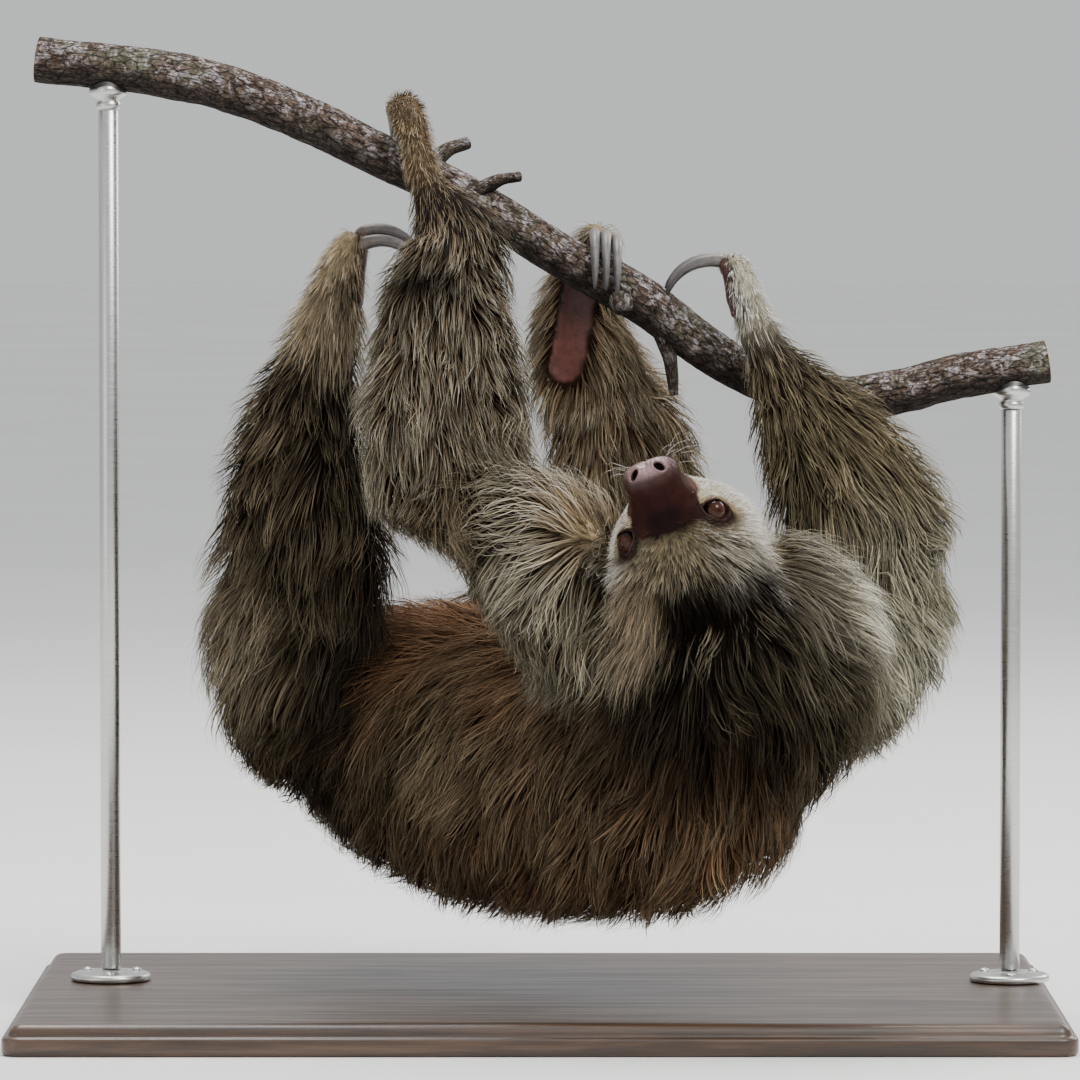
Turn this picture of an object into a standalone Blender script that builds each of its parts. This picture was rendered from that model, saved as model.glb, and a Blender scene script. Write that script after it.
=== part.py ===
"""Hoffmann's two-toed sloth, hanging belly up from a cut length of branch on a display stand.

Metres, +Z up. +X runs along the branch towards the animal's head, and the viewer stands at -Y.
The origin is the centre of the base's underside. Left and right are the animal's own.
Every solid of flesh reaches out to the tips of the coat. Pieces are lofted one by one, and each is
cut clear of the pieces made before it, so that neighbours meet with a thin gap.
"""
import math

import bmesh
import bpy
import numpy as np
from mathutils import Matrix, Vector

GAP = 0.0004                          # clearance that a piece is cut to around its neighbour
MERGE = 0.00001                       # corners closer than this are one

# Stand
BASE_SIZE = (0.668, 0.420, 0.020)
BASE_BEVEL = 0.004
ROD_RADIUS = 0.0065
FLANGE_RADIUS, FLANGE_HEIGHT, FLANGE_SLOPE = 0.026, 0.007, 0.003
CUP_RADIUS, CUP_HEIGHT, CUP_DROP = 0.0125, 0.030, 0.027
ROD_X = {"left": -0.280, "right": 0.306}
SET_BACK = 0.030                      # how far the branch stands behind the middle of the base

# Branch: its centre line, and the wood's radius there
BRANCH_LINE = [
    ((-0.326, 0.006, 0.620), 0.0152),
    ((-0.230, 0.003, 0.608), 0.0160),
    ((-0.162, 0.000, 0.586), 0.0155),
    ((-0.104, 0.000, 0.558), 0.0150),
    ((-0.045, 0.000, 0.529), 0.0145),
    ((0.013, 0.000, 0.493), 0.0150),
    ((0.065, 0.000, 0.464), 0.0160),
    ((0.104, 0.000, 0.435), 0.0150),
    ((0.143, 0.002, 0.413), 0.0145),
    ((0.188, 0.003, 0.400), 0.0150),
    ((0.231, 0.000, 0.404), 0.0155),
    ((0.273, -0.002, 0.415), 0.0150),
    ((0.329, 0.000, 0.4235), 0.0148),
]
TWIGS = [
    (((-0.076, 0.006, 0.545), 0.0070), ((-0.062, 0.012, 0.560), 0.0055), ((-0.047, 0.018, 0.566), 0.0045)),
    (((-0.046, -0.004, 0.530), 0.0070), ((-0.028, -0.010, 0.541), 0.0048), ((-0.013, -0.014, 0.544), 0.0036)),
    (((0.076, -0.002, 0.452), 0.0080), ((0.084, -0.003, 0.428), 0.0055), ((0.087, -0.003, 0.403), 0.0035)),
    (((0.052, -0.006, 0.466), 0.0090), ((0.053, -0.012, 0.462), 0.0085), ((0.054, -0.015, 0.459), 0.0070)),
]

# Head: where its centre lies between the eyes, and how it is turned. Pitch leans the nose from straight
# up towards the viewer, roll turns the crown about the nose's line, lean tips the whole head sideways.
HEAD_CENTRE = Vector((0.0877, -0.185, 0.3194))
HEAD_PITCH, HEAD_ROLL, HEAD_LEAN = math.radians(31.5), math.radians(10.3), math.radians(25.4)
EYE_FORWARD, EYE_UP, EYE_SIDE, EYE_RADIUS = 0.0180, 0.0105, 0.0280, 0.0072
EYE_GAZE = (0.42, 0.55, 0.72)
SOCKET_DEPTH, SOCKET_RADII = 0.024, (0.0066, 0.0125)
NOSTRIL_FORWARD, NOSTRIL_DOWN, NOSTRIL_SIDE, NOSTRIL_RADIUS = 0.0600, 0.001, 0.0095, 0.0042
# Distance along the nose's line: reach to the crown side, reach to the chin side, half width
HEAD_PROFILE = [
    (-0.066, 0.016, -0.019, 0.018),
    (-0.058, 0.034, -0.036, 0.039),
    (-0.040, 0.046, -0.048, 0.056),
    (-0.018, 0.046, -0.053, 0.061),
    (0.002, 0.038, -0.050, 0.057),
    (0.016, 0.030, -0.042, 0.045),
    (0.026, 0.0235, -0.0330, 0.0320),
    (0.036, 0.0192, -0.0245, 0.0235),
    (0.046, 0.0175, -0.0170, 0.0185),
    (0.055, 0.0155, -0.0100, 0.0165),
    (0.061, 0.0105, -0.0045, 0.0118),
]
MUZZLE_CUT = 0.0385                   # the bare muzzle begins this far forward of the head's centre
HEAD_SQUARENESS = 0.86                # power on the section's sine and cosine; 1 is an ellipse

# Claws
CLAW_LENGTH, CLAW_RADIUS = 0.055, 0.0046
CLAW_TAPER = 0.38                     # power by which the depth falls towards the tip
CLAW_FLATNESS = 0.71                  # width as a share of the depth
CLAW_TIP = 0.0002                     # added to the depth, so that the tip keeps some body
CLAW_RINGS, CLAW_SIDES = 8, 6

# Body parts: a line of stations, each a centre with a half height and a half depth of the coated body
TRUNK = [
    ((-0.122, 0.098, 0.190), 0.074, 0.062),
    ((-0.095, 0.070, 0.184), 0.088, 0.078),
    ((-0.055, 0.026, 0.174), 0.096, 0.085),
    ((-0.010, -0.020, 0.166), 0.098, 0.088),
    ((0.035, -0.066, 0.166), 0.096, 0.088),
    ((0.078, -0.104, 0.172), 0.097, 0.092),
    ((0.116, -0.114, 0.184), 0.088, 0.090),
]
NECK = [
    ((0.125, -0.146, 0.294), 0.074, 0.060),
    ((0.127, -0.146, 0.256), 0.093, 0.074),
    ((0.121, -0.138, 0.214), 0.091, 0.078),
    ((0.110, -0.122, 0.180), 0.072, 0.070),
]
LIMBS = {
    "upper_arm_left": [
        ((0.046, -0.138, 0.264), 0.054, 0.048),
        ((0.016, -0.143, 0.296), 0.057, 0.049),
        ((-0.014, -0.146, 0.322), 0.047, 0.045),
        ((-0.038, -0.146, 0.342), 0.034, 0.040),
    ],
    "forearm_left": [
        ((-0.057, -0.140, 0.337), 0.048, 0.041),
        ((-0.059, -0.124, 0.375), 0.058, 0.043),
        ((-0.059, -0.098, 0.425), 0.054, 0.038),
        ((-0.0600, -0.070, 0.472), 0.0445, 0.031),
        ((-0.0550, -0.050, 0.502), 0.0370, 0.022),
        ((-0.071, -0.038, 0.535), 0.0150, 0.0130),
    ],
    "upper_arm_right": [
        ((0.166, -0.084, 0.232), 0.060, 0.054),
        ((0.197, -0.070, 0.246), 0.062, 0.054),
        ((0.219, -0.060, 0.280), 0.055, 0.047),
    ],
    "forearm_right": [
        ((0.216, -0.060, 0.300), 0.058, 0.046),
        ((0.199, -0.054, 0.342), 0.057, 0.042),
        ((0.174, -0.046, 0.386), 0.044, 0.033),
        ((0.151, -0.038, 0.424), 0.0245, 0.019),
        ((0.140, -0.034, 0.444), 0.0170, 0.014),
    ],
    "thigh_left": [
        ((-0.118, 0.052, 0.186), 0.056, 0.056),
        ((-0.148, 0.026, 0.204), 0.060, 0.058),
        ((-0.158, 0.008, 0.240), 0.062, 0.054),
        ((-0.155, -0.004, 0.272), 0.060, 0.050),
    ],
    "shank_left": [
        ((-0.150, -0.004, 0.294), 0.064, 0.050),
        ((-0.152, -0.002, 0.332), 0.059, 0.045),
        ((-0.152, 0.002, 0.376), 0.050, 0.037),
        ((-0.146, 0.007, 0.412), 0.040, 0.028),
        ((-0.143, 0.010, 0.430), 0.035, 0.024),
    ],
    "thigh_right": [
        ((-0.060, 0.104, 0.198), 0.056, 0.055),
        ((-0.016, 0.112, 0.236), 0.054, 0.053),
        ((0.022, 0.112, 0.280), 0.052, 0.050),
        ((0.050, 0.106, 0.304), 0.047, 0.045),
    ],
    "shank_right": [
        ((0.066, 0.096, 0.318), 0.052, 0.045),
        ((0.060, 0.082, 0.350), 0.051, 0.041),
        ((0.051, 0.064, 0.376), 0.050, 0.034),
        ((0.044, 0.052, 0.396), 0.047, 0.029),
    ],
}
PAWS = {
    "hand_left": [
        ((-0.0745, -0.036, 0.541), 0.0128, 0.0118),
        ((-0.079, -0.031, 0.563), 0.0130, 0.0105),
        ((-0.085, -0.022, 0.583), 0.0132, 0.0100),
        ((-0.089, -0.006, 0.589), 0.0120, 0.0085),
        ((-0.091, 0.010, 0.587), 0.0100, 0.0075),
    ],
    "hand_right": [
        ((0.138, -0.033, 0.450), 0.0150, 0.0125),
        ((0.132, -0.031, 0.466), 0.0140, 0.0110),
        ((0.128, -0.028, 0.481), 0.0120, 0.0100),
        ((0.122, -0.023, 0.490), 0.0095, 0.0090),
    ],
    "foot_left": [
        ((-0.1405, 0.010, 0.438), 0.0325, 0.0220),
        ((-0.1330, 0.010, 0.464), 0.0260, 0.0190),
        ((-0.1270, 0.011, 0.488), 0.0185, 0.0160),
        ((-0.1210, 0.012, 0.503), 0.0120, 0.0135),
    ],
    "foot_right": [
        ((0.0345, 0.046, 0.412), 0.0430, 0.0260),
        ((0.0270, 0.040, 0.438), 0.0370, 0.0205),
        ((0.0250, 0.033, 0.466), 0.0290, 0.0155),
        ((0.0320, 0.028, 0.489), 0.0215, 0.0125),
        ((0.0400, 0.0175, 0.5070), 0.0180, 0.0110),
    ],
}
# Claws grow from a place on the paw: start, first heading, the way the arc bends, and its turn in degrees
CLAWS = {
    "hand_left": ((-0.0915, 0.0155, 0.5850), (0.10, 0.90, -0.42), (0.0, -0.42, -0.90), 125),
    "hand_right": ((0.1225, -0.0190, 0.4875), (-0.93, 0.16, 0.33), (-0.25, 0.30, -0.92), 92),
    "foot_left": ((-0.1150, 0.0140, 0.5060), (0.92, -0.05, 0.38), (0.38, 0.05, -0.92), 115),
    "foot_right": ((0.0428, 0.0085, 0.5050), (0.0, -0.99, 0.14), (0.0, -0.20, -0.97), 112),
}
CLAW_SPREAD = {                       # how the claws of one paw are set side by side
    "hand_left": [(-0.0050, -0.001, 0.002), (0.0050, 0.001, -0.002)],
    "hand_right": [(0.000, 0.0055, 0.001), (0.001, -0.0050, 0.000)],
    "foot_left": [(0.0010, -0.0085, -0.0060), (0.0, 0.0, 0.0010), (0.0, 0.0090, 0.0010)],
    "foot_right": [(-0.0072, 0.0005, 0.001), (0.0, 0.0, 0.0), (0.0072, 0.001, -0.0035)],
}

COLOURS = {
    "coat": (0.20, 0.16, 0.10), "muzzle": (0.16, 0.06, 0.045), "claw": (0.45, 0.40, 0.34),
    "eye": (0.06, 0.02, 0.01), "bark": (0.28, 0.24, 0.21), "wood": (0.09, 0.05, 0.03), "steel": (0.55, 0.55, 0.56),
}
ROUGHNESS = {"steel": 0.3, "eye": 0.08, "claw": 0.4, "wood": 0.45}


def material(name):
    """The named finish: its colour, roughness and metallic value on a Principled shader."""
    found = bpy.data.materials.get(name)
    if found:
        return found
    made = bpy.data.materials.new(name)
    made.use_nodes = True
    shader = made.node_tree.nodes["Principled BSDF"]
    shader.inputs["Base Color"].default_value = (*COLOURS[name], 1.0)
    shader.inputs["Roughness"].default_value = ROUGHNESS.get(name, 0.8)
    shader.inputs["Metallic"].default_value = 1.0 if name == "steel" else 0.0
    return made


def smooth_line(rows, steps):
    """A Catmull-Rom curve through the rows of an array, with the given steps between two rows."""
    rows = np.asarray(rows, float)
    padded = np.vstack([2 * rows[0] - rows[1], rows, 2 * rows[-1] - rows[-2]])
    line = []
    for i in range(len(rows) - 1):
        a, b, c, d = padded[i:i + 4]
        for t in np.linspace(0, 1, steps, endpoint=False):
            line.append(0.5 * (2 * b + (c - a) * t + (2 * a - 5 * b + 4 * c - d) * t ** 2
                               + (3 * b - a - 3 * c + d) * t ** 3))
    line.append(rows[-1])
    return np.array(line)


def skin_of_rings(rings, start, end):
    """A bmesh over closed rings of points, with a pole at each end and its faces outwards."""
    count, sides = len(rings), len(rings[0])
    mesh = bmesh.new()
    grid = [[mesh.verts.new(p) for p in ring] for ring in rings]
    poles = mesh.verts.new(start), mesh.verts.new(end)
    for k in range(sides):
        m = (k + 1) % sides
        for i in range(count - 1):
            mesh.faces.new((grid[i][k], grid[i][m], grid[i + 1][m]))
            mesh.faces.new((grid[i][k], grid[i + 1][m], grid[i + 1][k]))
        mesh.faces.new((poles[0], grid[0][m], grid[0][k]))
        mesh.faces.new((poles[1], grid[-1][k], grid[-1][m]))
    if mesh.calc_volume(signed=True) < 0:
        bmesh.ops.reverse_faces(mesh, faces=mesh.faces)
    return mesh


def loft(stations, sides, steps, grow=0.0, cap=0.55, lumps=0.0):
    """A closed body along a smooth line: elliptic sections, their depth kept near the Y axis, and rounded ends.
    Lumps raise and sink the surface a little, as a share of its radius."""
    rows = [(*place, half_height, half_depth) for place, half_height, half_depth in stations]
    line = smooth_line(rows, steps)
    centre, radii = line[:, :3], line[:, 3:] + grow
    along = np.gradient(centre, axis=0)
    along /= np.linalg.norm(along, axis=1)[:, None]
    round_end = np.radians([58, 25])
    first = [(centre[0] - along[0] * cap * radii[0].mean() * math.sin(a), along[0], radii[0] * math.cos(a))
             for a in round_end]
    last = [(centre[-1] + along[-1] * cap * radii[-1].mean() * math.sin(a), along[-1], radii[-1] * math.cos(a))
            for a in reversed(round_end)]
    middle = [(centre[i], along[i], radii[i]) for i in range(len(line))]
    rings = []
    for i, (place, heading, (height, depth)) in enumerate(first + middle + last):
        deep = np.array([0, 1, 0]) - heading[1] * heading
        deep /= np.linalg.norm(deep)
        wide = np.cross(heading, deep)
        turn = 2 * math.pi * (np.arange(sides) + 0.5 * (i % 2)) / sides
        swell = 1 + lumps * np.sin(3 * turn + 0.9 * i) * np.cos(2 * turn - 0.6 * i)
        rings.append(place + np.outer(np.cos(turn) * swell * height, wide)
                     + np.outer(np.sin(turn) * swell * depth, deep))
    start = centre[0] - along[0] * cap * radii[0].mean()
    end = centre[-1] + along[-1] * cap * radii[-1].mean()
    return skin_of_rings(rings, start, end)


def head_axes():
    """Unit vectors along the nose, out of the crown, and to the animal's right."""
    nose = Vector((0, -math.sin(HEAD_PITCH), math.cos(HEAD_PITCH)))
    crown = Vector((0, -math.cos(HEAD_PITCH), -math.sin(HEAD_PITCH)))
    crown = crown * math.cos(HEAD_ROLL) - Vector((1, 0, 0)) * math.sin(HEAD_ROLL)
    lean = Matrix.Rotation(HEAD_LEAN, 3, Vector((0, -1, 0)))
    nose, crown = lean @ nose, (lean @ crown).normalized()
    return nose, crown, nose.cross(crown)


def on_head(forward, up, side):
    """A place on the head, from its distances along the head's own axes."""
    nose, crown, right = head_axes()
    return HEAD_CENTRE + nose * forward + crown * up + right * side


def head_shell(grow=0.0, sides=20, steps=1):
    """The whole head: sections across the nose's line, deeper towards the chin, squarer at the muzzle."""
    line = smooth_line(HEAD_PROFILE, steps)
    rings = []
    for forward, crown_reach, chin_reach, half_width in line:
        ring = []
        for k in range(sides):
            turn = 2 * math.pi * k / sides
            up, side = math.cos(turn), math.sin(turn)
            reach = (crown_reach if up > 0 else -chin_reach) + grow
            ring.append(on_head(forward, math.copysign(abs(up) ** HEAD_SQUARENESS, up) * reach,
                                math.copysign(abs(side) ** HEAD_SQUARENESS, side) * (half_width + grow)))
        rings.append(ring)
    back, front = line[0][0] - 0.004 - grow, line[-1][0] + 0.002 + grow
    return skin_of_rings(rings, on_head(back, 0, 0), on_head(front, -0.001, 0))


def ball(centre, radius, divisions=2):
    """A round ball of triangles."""
    mesh = bmesh.new()
    bmesh.ops.create_icosphere(mesh, subdivisions=divisions, radius=radius, matrix=Matrix.Translation(centre))
    return mesh


def socket(side):
    """The space that an eye needs: the ball, and a cone that opens from it to the face."""
    place = np.array((EYE_FORWARD, EYE_UP, EYE_SIDE * side))
    gaze = np.array(EYE_GAZE) * (1, 1, side)
    mouth = place + gaze / np.linalg.norm(gaze) * SOCKET_DEPTH
    inner, outer = SOCKET_RADII
    cone = rod(on_head(*place), on_head(*mouth), inner, sides=16, top_radius=outer)
    return [ball(on_head(*place), EYE_RADIUS + GAP), cone]


def rod(base, top, radius, sides=24, top_radius=None):
    """A straight round bar between two points, or a cone where the top has its own radius."""
    axis = Vector(top) - Vector(base)
    mesh = bmesh.new()
    middle = Matrix.Translation((Vector(base) + Vector(top)) / 2)
    turned = axis.to_track_quat("Z", "Y").to_matrix().to_4x4()
    bmesh.ops.create_cone(mesh, cap_ends=True, segments=sides, radius1=radius, radius2=top_radius or radius,
                          depth=axis.length, matrix=middle @ turned)
    return mesh


def claw(start, heading, bend, turn, grow=0.0):
    """A claw of even curvature: an arc of the given turn, its section flattened and tapering to the tip."""
    start, heading, bend = Vector(start), Vector(heading).normalized(), Vector(bend).normalized()
    bend = (bend - bend.dot(heading) * heading).normalized()
    side = heading.cross(bend)
    radius = CLAW_LENGTH / math.radians(turn)
    rings = []
    for t in np.arange(CLAW_RINGS) / CLAW_RINGS:
        angle = math.radians(turn) * t
        centre = start + heading * radius * math.sin(angle) + bend * radius * (1 - math.cos(angle))
        inward = bend * math.cos(angle) - heading * math.sin(angle)
        deep = CLAW_RADIUS * (1 - t) ** CLAW_TAPER + CLAW_TIP + grow
        wide = deep * CLAW_FLATNESS
        rings.append([centre + inward * deep * math.cos(a) + side * wide * math.sin(a)
                      for a in 2 * math.pi * np.arange(CLAW_SIDES) / CLAW_SIDES])
    angle = math.radians(turn)
    tip = start + heading * radius * math.sin(angle) + bend * radius * (1 - math.cos(angle))
    return skin_of_rings(rings, start - heading * 0.002, tip)


def put(name, mesh, finish):
    """A named object at the origin that holds the mesh."""
    data = bpy.data.meshes.new(name)
    mesh.to_mesh(data)
    mesh.free()
    made = bpy.data.objects.new(name, data)
    data.materials.append(material(finish))
    bpy.context.scene.collection.objects.link(made)
    return made


def largest_island(mesh):
    """Deletes every loose bit of a bmesh but the one with most corners."""
    left, islands = set(mesh.verts), []
    while left:
        stack, seen = [left.pop()], set()
        while stack:
            corner = stack.pop()
            seen.add(corner)
            near = {e.other_vert(corner) for e in corner.link_edges} & left
            left -= near
            stack.extend(near)
        islands.append(seen)
    islands.sort(key=len)
    for seen in islands[:-1]:
        bmesh.ops.delete(mesh, geom=list(seen), context="VERTS")


def carve(made, cutters, operation="DIFFERENCE"):
    """Cuts the cutter meshes out of an object, or joins them to it, and keeps the largest body left."""
    if not cutters:
        return made
    tools = bpy.data.collections.new("tools")
    for cutter in cutters:
        tool = put("cutter", cutter, "coat")
        tools.objects.link(tool)
    change = made.modifiers.new("cut", "BOOLEAN")
    change.operation, change.solver = operation, "EXACT"
    change.operand_type, change.collection = "COLLECTION", tools
    bpy.context.view_layer.update()
    result = bmesh.new()
    result.from_object(made, bpy.context.evaluated_depsgraph_get())
    made.modifiers.clear()
    for tool in list(tools.objects):
        bpy.data.objects.remove(tool)
    bpy.data.collections.remove(tools)
    largest_island(result)
    bmesh.ops.remove_doubles(result, verts=result.verts, dist=MERGE)
    bmesh.ops.dissolve_degenerate(result, edges=result.edges, dist=MERGE)
    bmesh.ops.triangulate(result, faces=result.faces)
    result.to_mesh(made.data)
    result.free()
    return made


def shade(made, angle=40):
    """Smooth shading, with edges sharper than the angle left sharp."""
    made.data.shade_smooth()
    made.data.set_sharp_from_angle(angle=math.radians(angle))


def wood_loft(stations, grow=0.0):
    """A limb of wood: its sections are round, with low knots along it."""
    return loft([(place, r, r) for place, r in stations], sides=10, steps=2, grow=grow, cap=0.15, lumps=0.05)


def branch(grow=0.0):
    """The cut branch with its short broken twigs, as one body."""
    made = put("branch", wood_loft(BRANCH_LINE, grow), "bark")
    twigs = [loft([(place, r, r) for place, r in twig], sides=6, steps=1, grow=grow, cap=0.5) for twig in TWIGS]
    return carve(made, twigs, "UNION")


def mesh_of(made):
    """A bmesh copy of an object's mesh, and the object is removed."""
    mesh = bmesh.new()
    mesh.from_mesh(made.data)
    bpy.data.objects.remove(made)
    return mesh


def stand_base():
    """The flat base: a board with its upper and lower edges eased."""
    width, depth, height = BASE_SIZE
    plate = bmesh.new()
    bmesh.ops.create_cube(plate, size=1.0, matrix=Matrix.Translation((0, 0, height / 2))
                          @ Matrix.Diagonal((width, depth, height, 1)))
    base = put("stand_base", plate, "wood")
    bevel = base.modifiers.new("edge", "BEVEL")
    bevel.width, bevel.segments, bevel.limit_method = BASE_BEVEL, 2, "ANGLE"


def stand_rods():
    """Two rods, each with a flange on the base and a cup that cradles the branch."""
    centres = smooth_line([place for place, _ in BRANCH_LINE], 8)
    for side, x in ROD_X.items():
        _, y, height = centres[np.abs(centres[:, 0] - x).argmin()]
        flange_foot = BASE_SIZE[2] + GAP
        flange_top = flange_foot + FLANGE_HEIGHT
        cup_foot = height - CUP_DROP
        cup = put("stand_cup_" + side, rod((x, y, cup_foot), (x, y, cup_foot + CUP_HEIGHT), CUP_RADIUS), "steel")
        carve(cup, [mesh_of(branch(GAP))])
        put("stand_rod_" + side, rod((x, y, flange_top + GAP), (x, y, cup_foot - GAP), ROD_RADIUS), "steel")
        put("stand_flange_" + side,
            rod((x, y, flange_foot), (x, y, flange_top), FLANGE_RADIUS, 32, FLANGE_RADIUS - FLANGE_SLOPE), "steel")


def flesh_shape(name, grow=0.0):
    """The uncut solid of one part of the coated body."""
    if name == "head":
        return head_shell(grow)
    if name == "trunk":
        return loft(TRUNK, 20, 2, grow, cap=0.75, lumps=0.015)
    if name == "neck":
        return loft(NECK, 16, 2, grow, cap=0.6, lumps=0.015)
    if name in PAWS:
        return loft(PAWS[name], 9, 1, grow, cap=0.6)
    return loft(LIMBS[name], 12, 2, grow, cap=0.5, lumps=0.02)


def claw_shapes(paw, grow=0.0):
    """The claws of one paw, each a bmesh."""
    start, heading, bend, turn = CLAWS[paw]
    return [claw(Vector(start) + Vector(step), heading, bend, turn, grow) for step in CLAW_SPREAD[paw]]


def near(a, b, margin=0.002):
    """True where the boxes of two bmeshes come within the margin."""
    boxes = [np.array([v.co for v in m.verts]) for m in (a, b)]
    return all(bool(np.all(one.min(0) - margin < other.max(0))) for one, other in (boxes, boxes[::-1]))


def animal():
    """Every part of the animal, each cut clear of the branch and of the parts before it."""
    order = ["trunk", "neck", "head"] + list(LIMBS) + list(PAWS)
    eyes = [("eye_right", 1), ("eye_left", -1)]
    for i, name in enumerate(order):
        made = put(name, flesh_shape(name), "coat")
        cutters = [flesh_shape(other, GAP) for other in order[:i]]
        cutters.append(mesh_of(branch(GAP)))
        if name == "head":
            for _, side in eyes:
                cutters += socket(side)
        if name in CLAWS:
            cutters += claw_shapes(name, GAP)
        own = bmesh.new()
        own.from_mesh(made.data)
        carve(made, [cutter for cutter in cutters if near(own, cutter)])
        own.free()
        if name == "head":
            part_muzzle(made)
        shade(made)
    for name, side in eyes:
        shade(put(name, ball(on_head(EYE_FORWARD, EYE_UP, side * EYE_SIDE), EYE_RADIUS), "eye"))
    for paw in CLAWS:
        for number, shape in enumerate(claw_shapes(paw), 1):
            made = put(f"claw_{paw}_{number}", shape, "claw")
            carve(made, [mesh_of(branch(GAP))])
            shade(made)


def part_muzzle(head):
    """Parts the bare muzzle from the head with a thin plane cut, and opens its nostrils."""
    nose, _, _ = head_axes()
    for name, keep_front, offset in (("muzzle", True, GAP / 2), ("head", False, -GAP / 2)):
        mesh = bmesh.new()
        mesh.from_mesh(head.data)
        cut = bmesh.ops.bisect_plane(mesh, geom=mesh.verts[:] + mesh.edges[:] + mesh.faces[:],
                                     plane_co=on_head(MUZZLE_CUT + offset, 0, 0), plane_no=nose,
                                     clear_inner=keep_front, clear_outer=not keep_front)
        rim = [e for e in cut["geom_cut"] if isinstance(e, bmesh.types.BMEdge)]
        bmesh.ops.holes_fill(mesh, edges=rim)
        bmesh.ops.triangulate(mesh, faces=mesh.faces)
        if name == "head":
            mesh.to_mesh(head.data)
            mesh.free()
        else:
            muzzle = put(name, mesh, "muzzle")
    carve(muzzle, [ball(on_head(NOSTRIL_FORWARD, -NOSTRIL_DOWN, side * NOSTRIL_SIDE), NOSTRIL_RADIUS)
                   for side in (-1, 1)])
    shade(muzzle)


def main():
    """Builds the stand, the branch and the animal in an empty scene."""
    for old in list(bpy.data.objects):
        bpy.data.objects.remove(old)
    branch()
    stand_rods()
    animal()
    for made in bpy.data.objects:
        made.data.transform(Matrix.Translation((0, SET_BACK, 0)))
    stand_base()


main()
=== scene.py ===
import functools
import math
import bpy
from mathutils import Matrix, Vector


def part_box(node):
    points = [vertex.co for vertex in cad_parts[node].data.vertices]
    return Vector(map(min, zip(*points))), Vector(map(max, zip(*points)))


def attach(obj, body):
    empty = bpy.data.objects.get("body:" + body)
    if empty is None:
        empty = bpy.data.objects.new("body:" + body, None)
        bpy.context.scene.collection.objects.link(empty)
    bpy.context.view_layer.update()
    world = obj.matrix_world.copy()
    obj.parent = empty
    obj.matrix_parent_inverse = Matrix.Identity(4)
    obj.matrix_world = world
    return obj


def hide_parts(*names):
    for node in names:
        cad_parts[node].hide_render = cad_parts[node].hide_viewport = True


bl_info = {
    "name": "Two-Toed Sloth",
    "version": (1, 0, 0),
    "blender": (4, 5, 0),
    "location": "3D View > Sidebar > Sloth",
    "description": "A life-size two-toed sloth on a cut branch, with its coat as meshes and a display stand",
    "category": "Add Mesh",
}

import bpy
import numpy as np
from bpy.props import FloatProperty, FloatVectorProperty, PointerProperty
from mathutils import Vector
from mathutils.kdtree import KDTree

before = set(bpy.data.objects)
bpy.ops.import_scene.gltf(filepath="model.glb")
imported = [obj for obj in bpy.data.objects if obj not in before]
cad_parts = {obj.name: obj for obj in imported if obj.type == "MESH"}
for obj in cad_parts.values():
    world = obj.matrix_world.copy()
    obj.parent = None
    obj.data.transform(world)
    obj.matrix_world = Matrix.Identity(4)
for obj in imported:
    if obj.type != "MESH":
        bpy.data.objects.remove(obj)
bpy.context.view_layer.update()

DOWN = np.array([0.0, 0.0, -1.0])
TURN = 2 * math.pi

# ------------ sizes of the animal and its perch
SET_BACK = 0.030  # the branch stands this far behind the middle of the base

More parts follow.
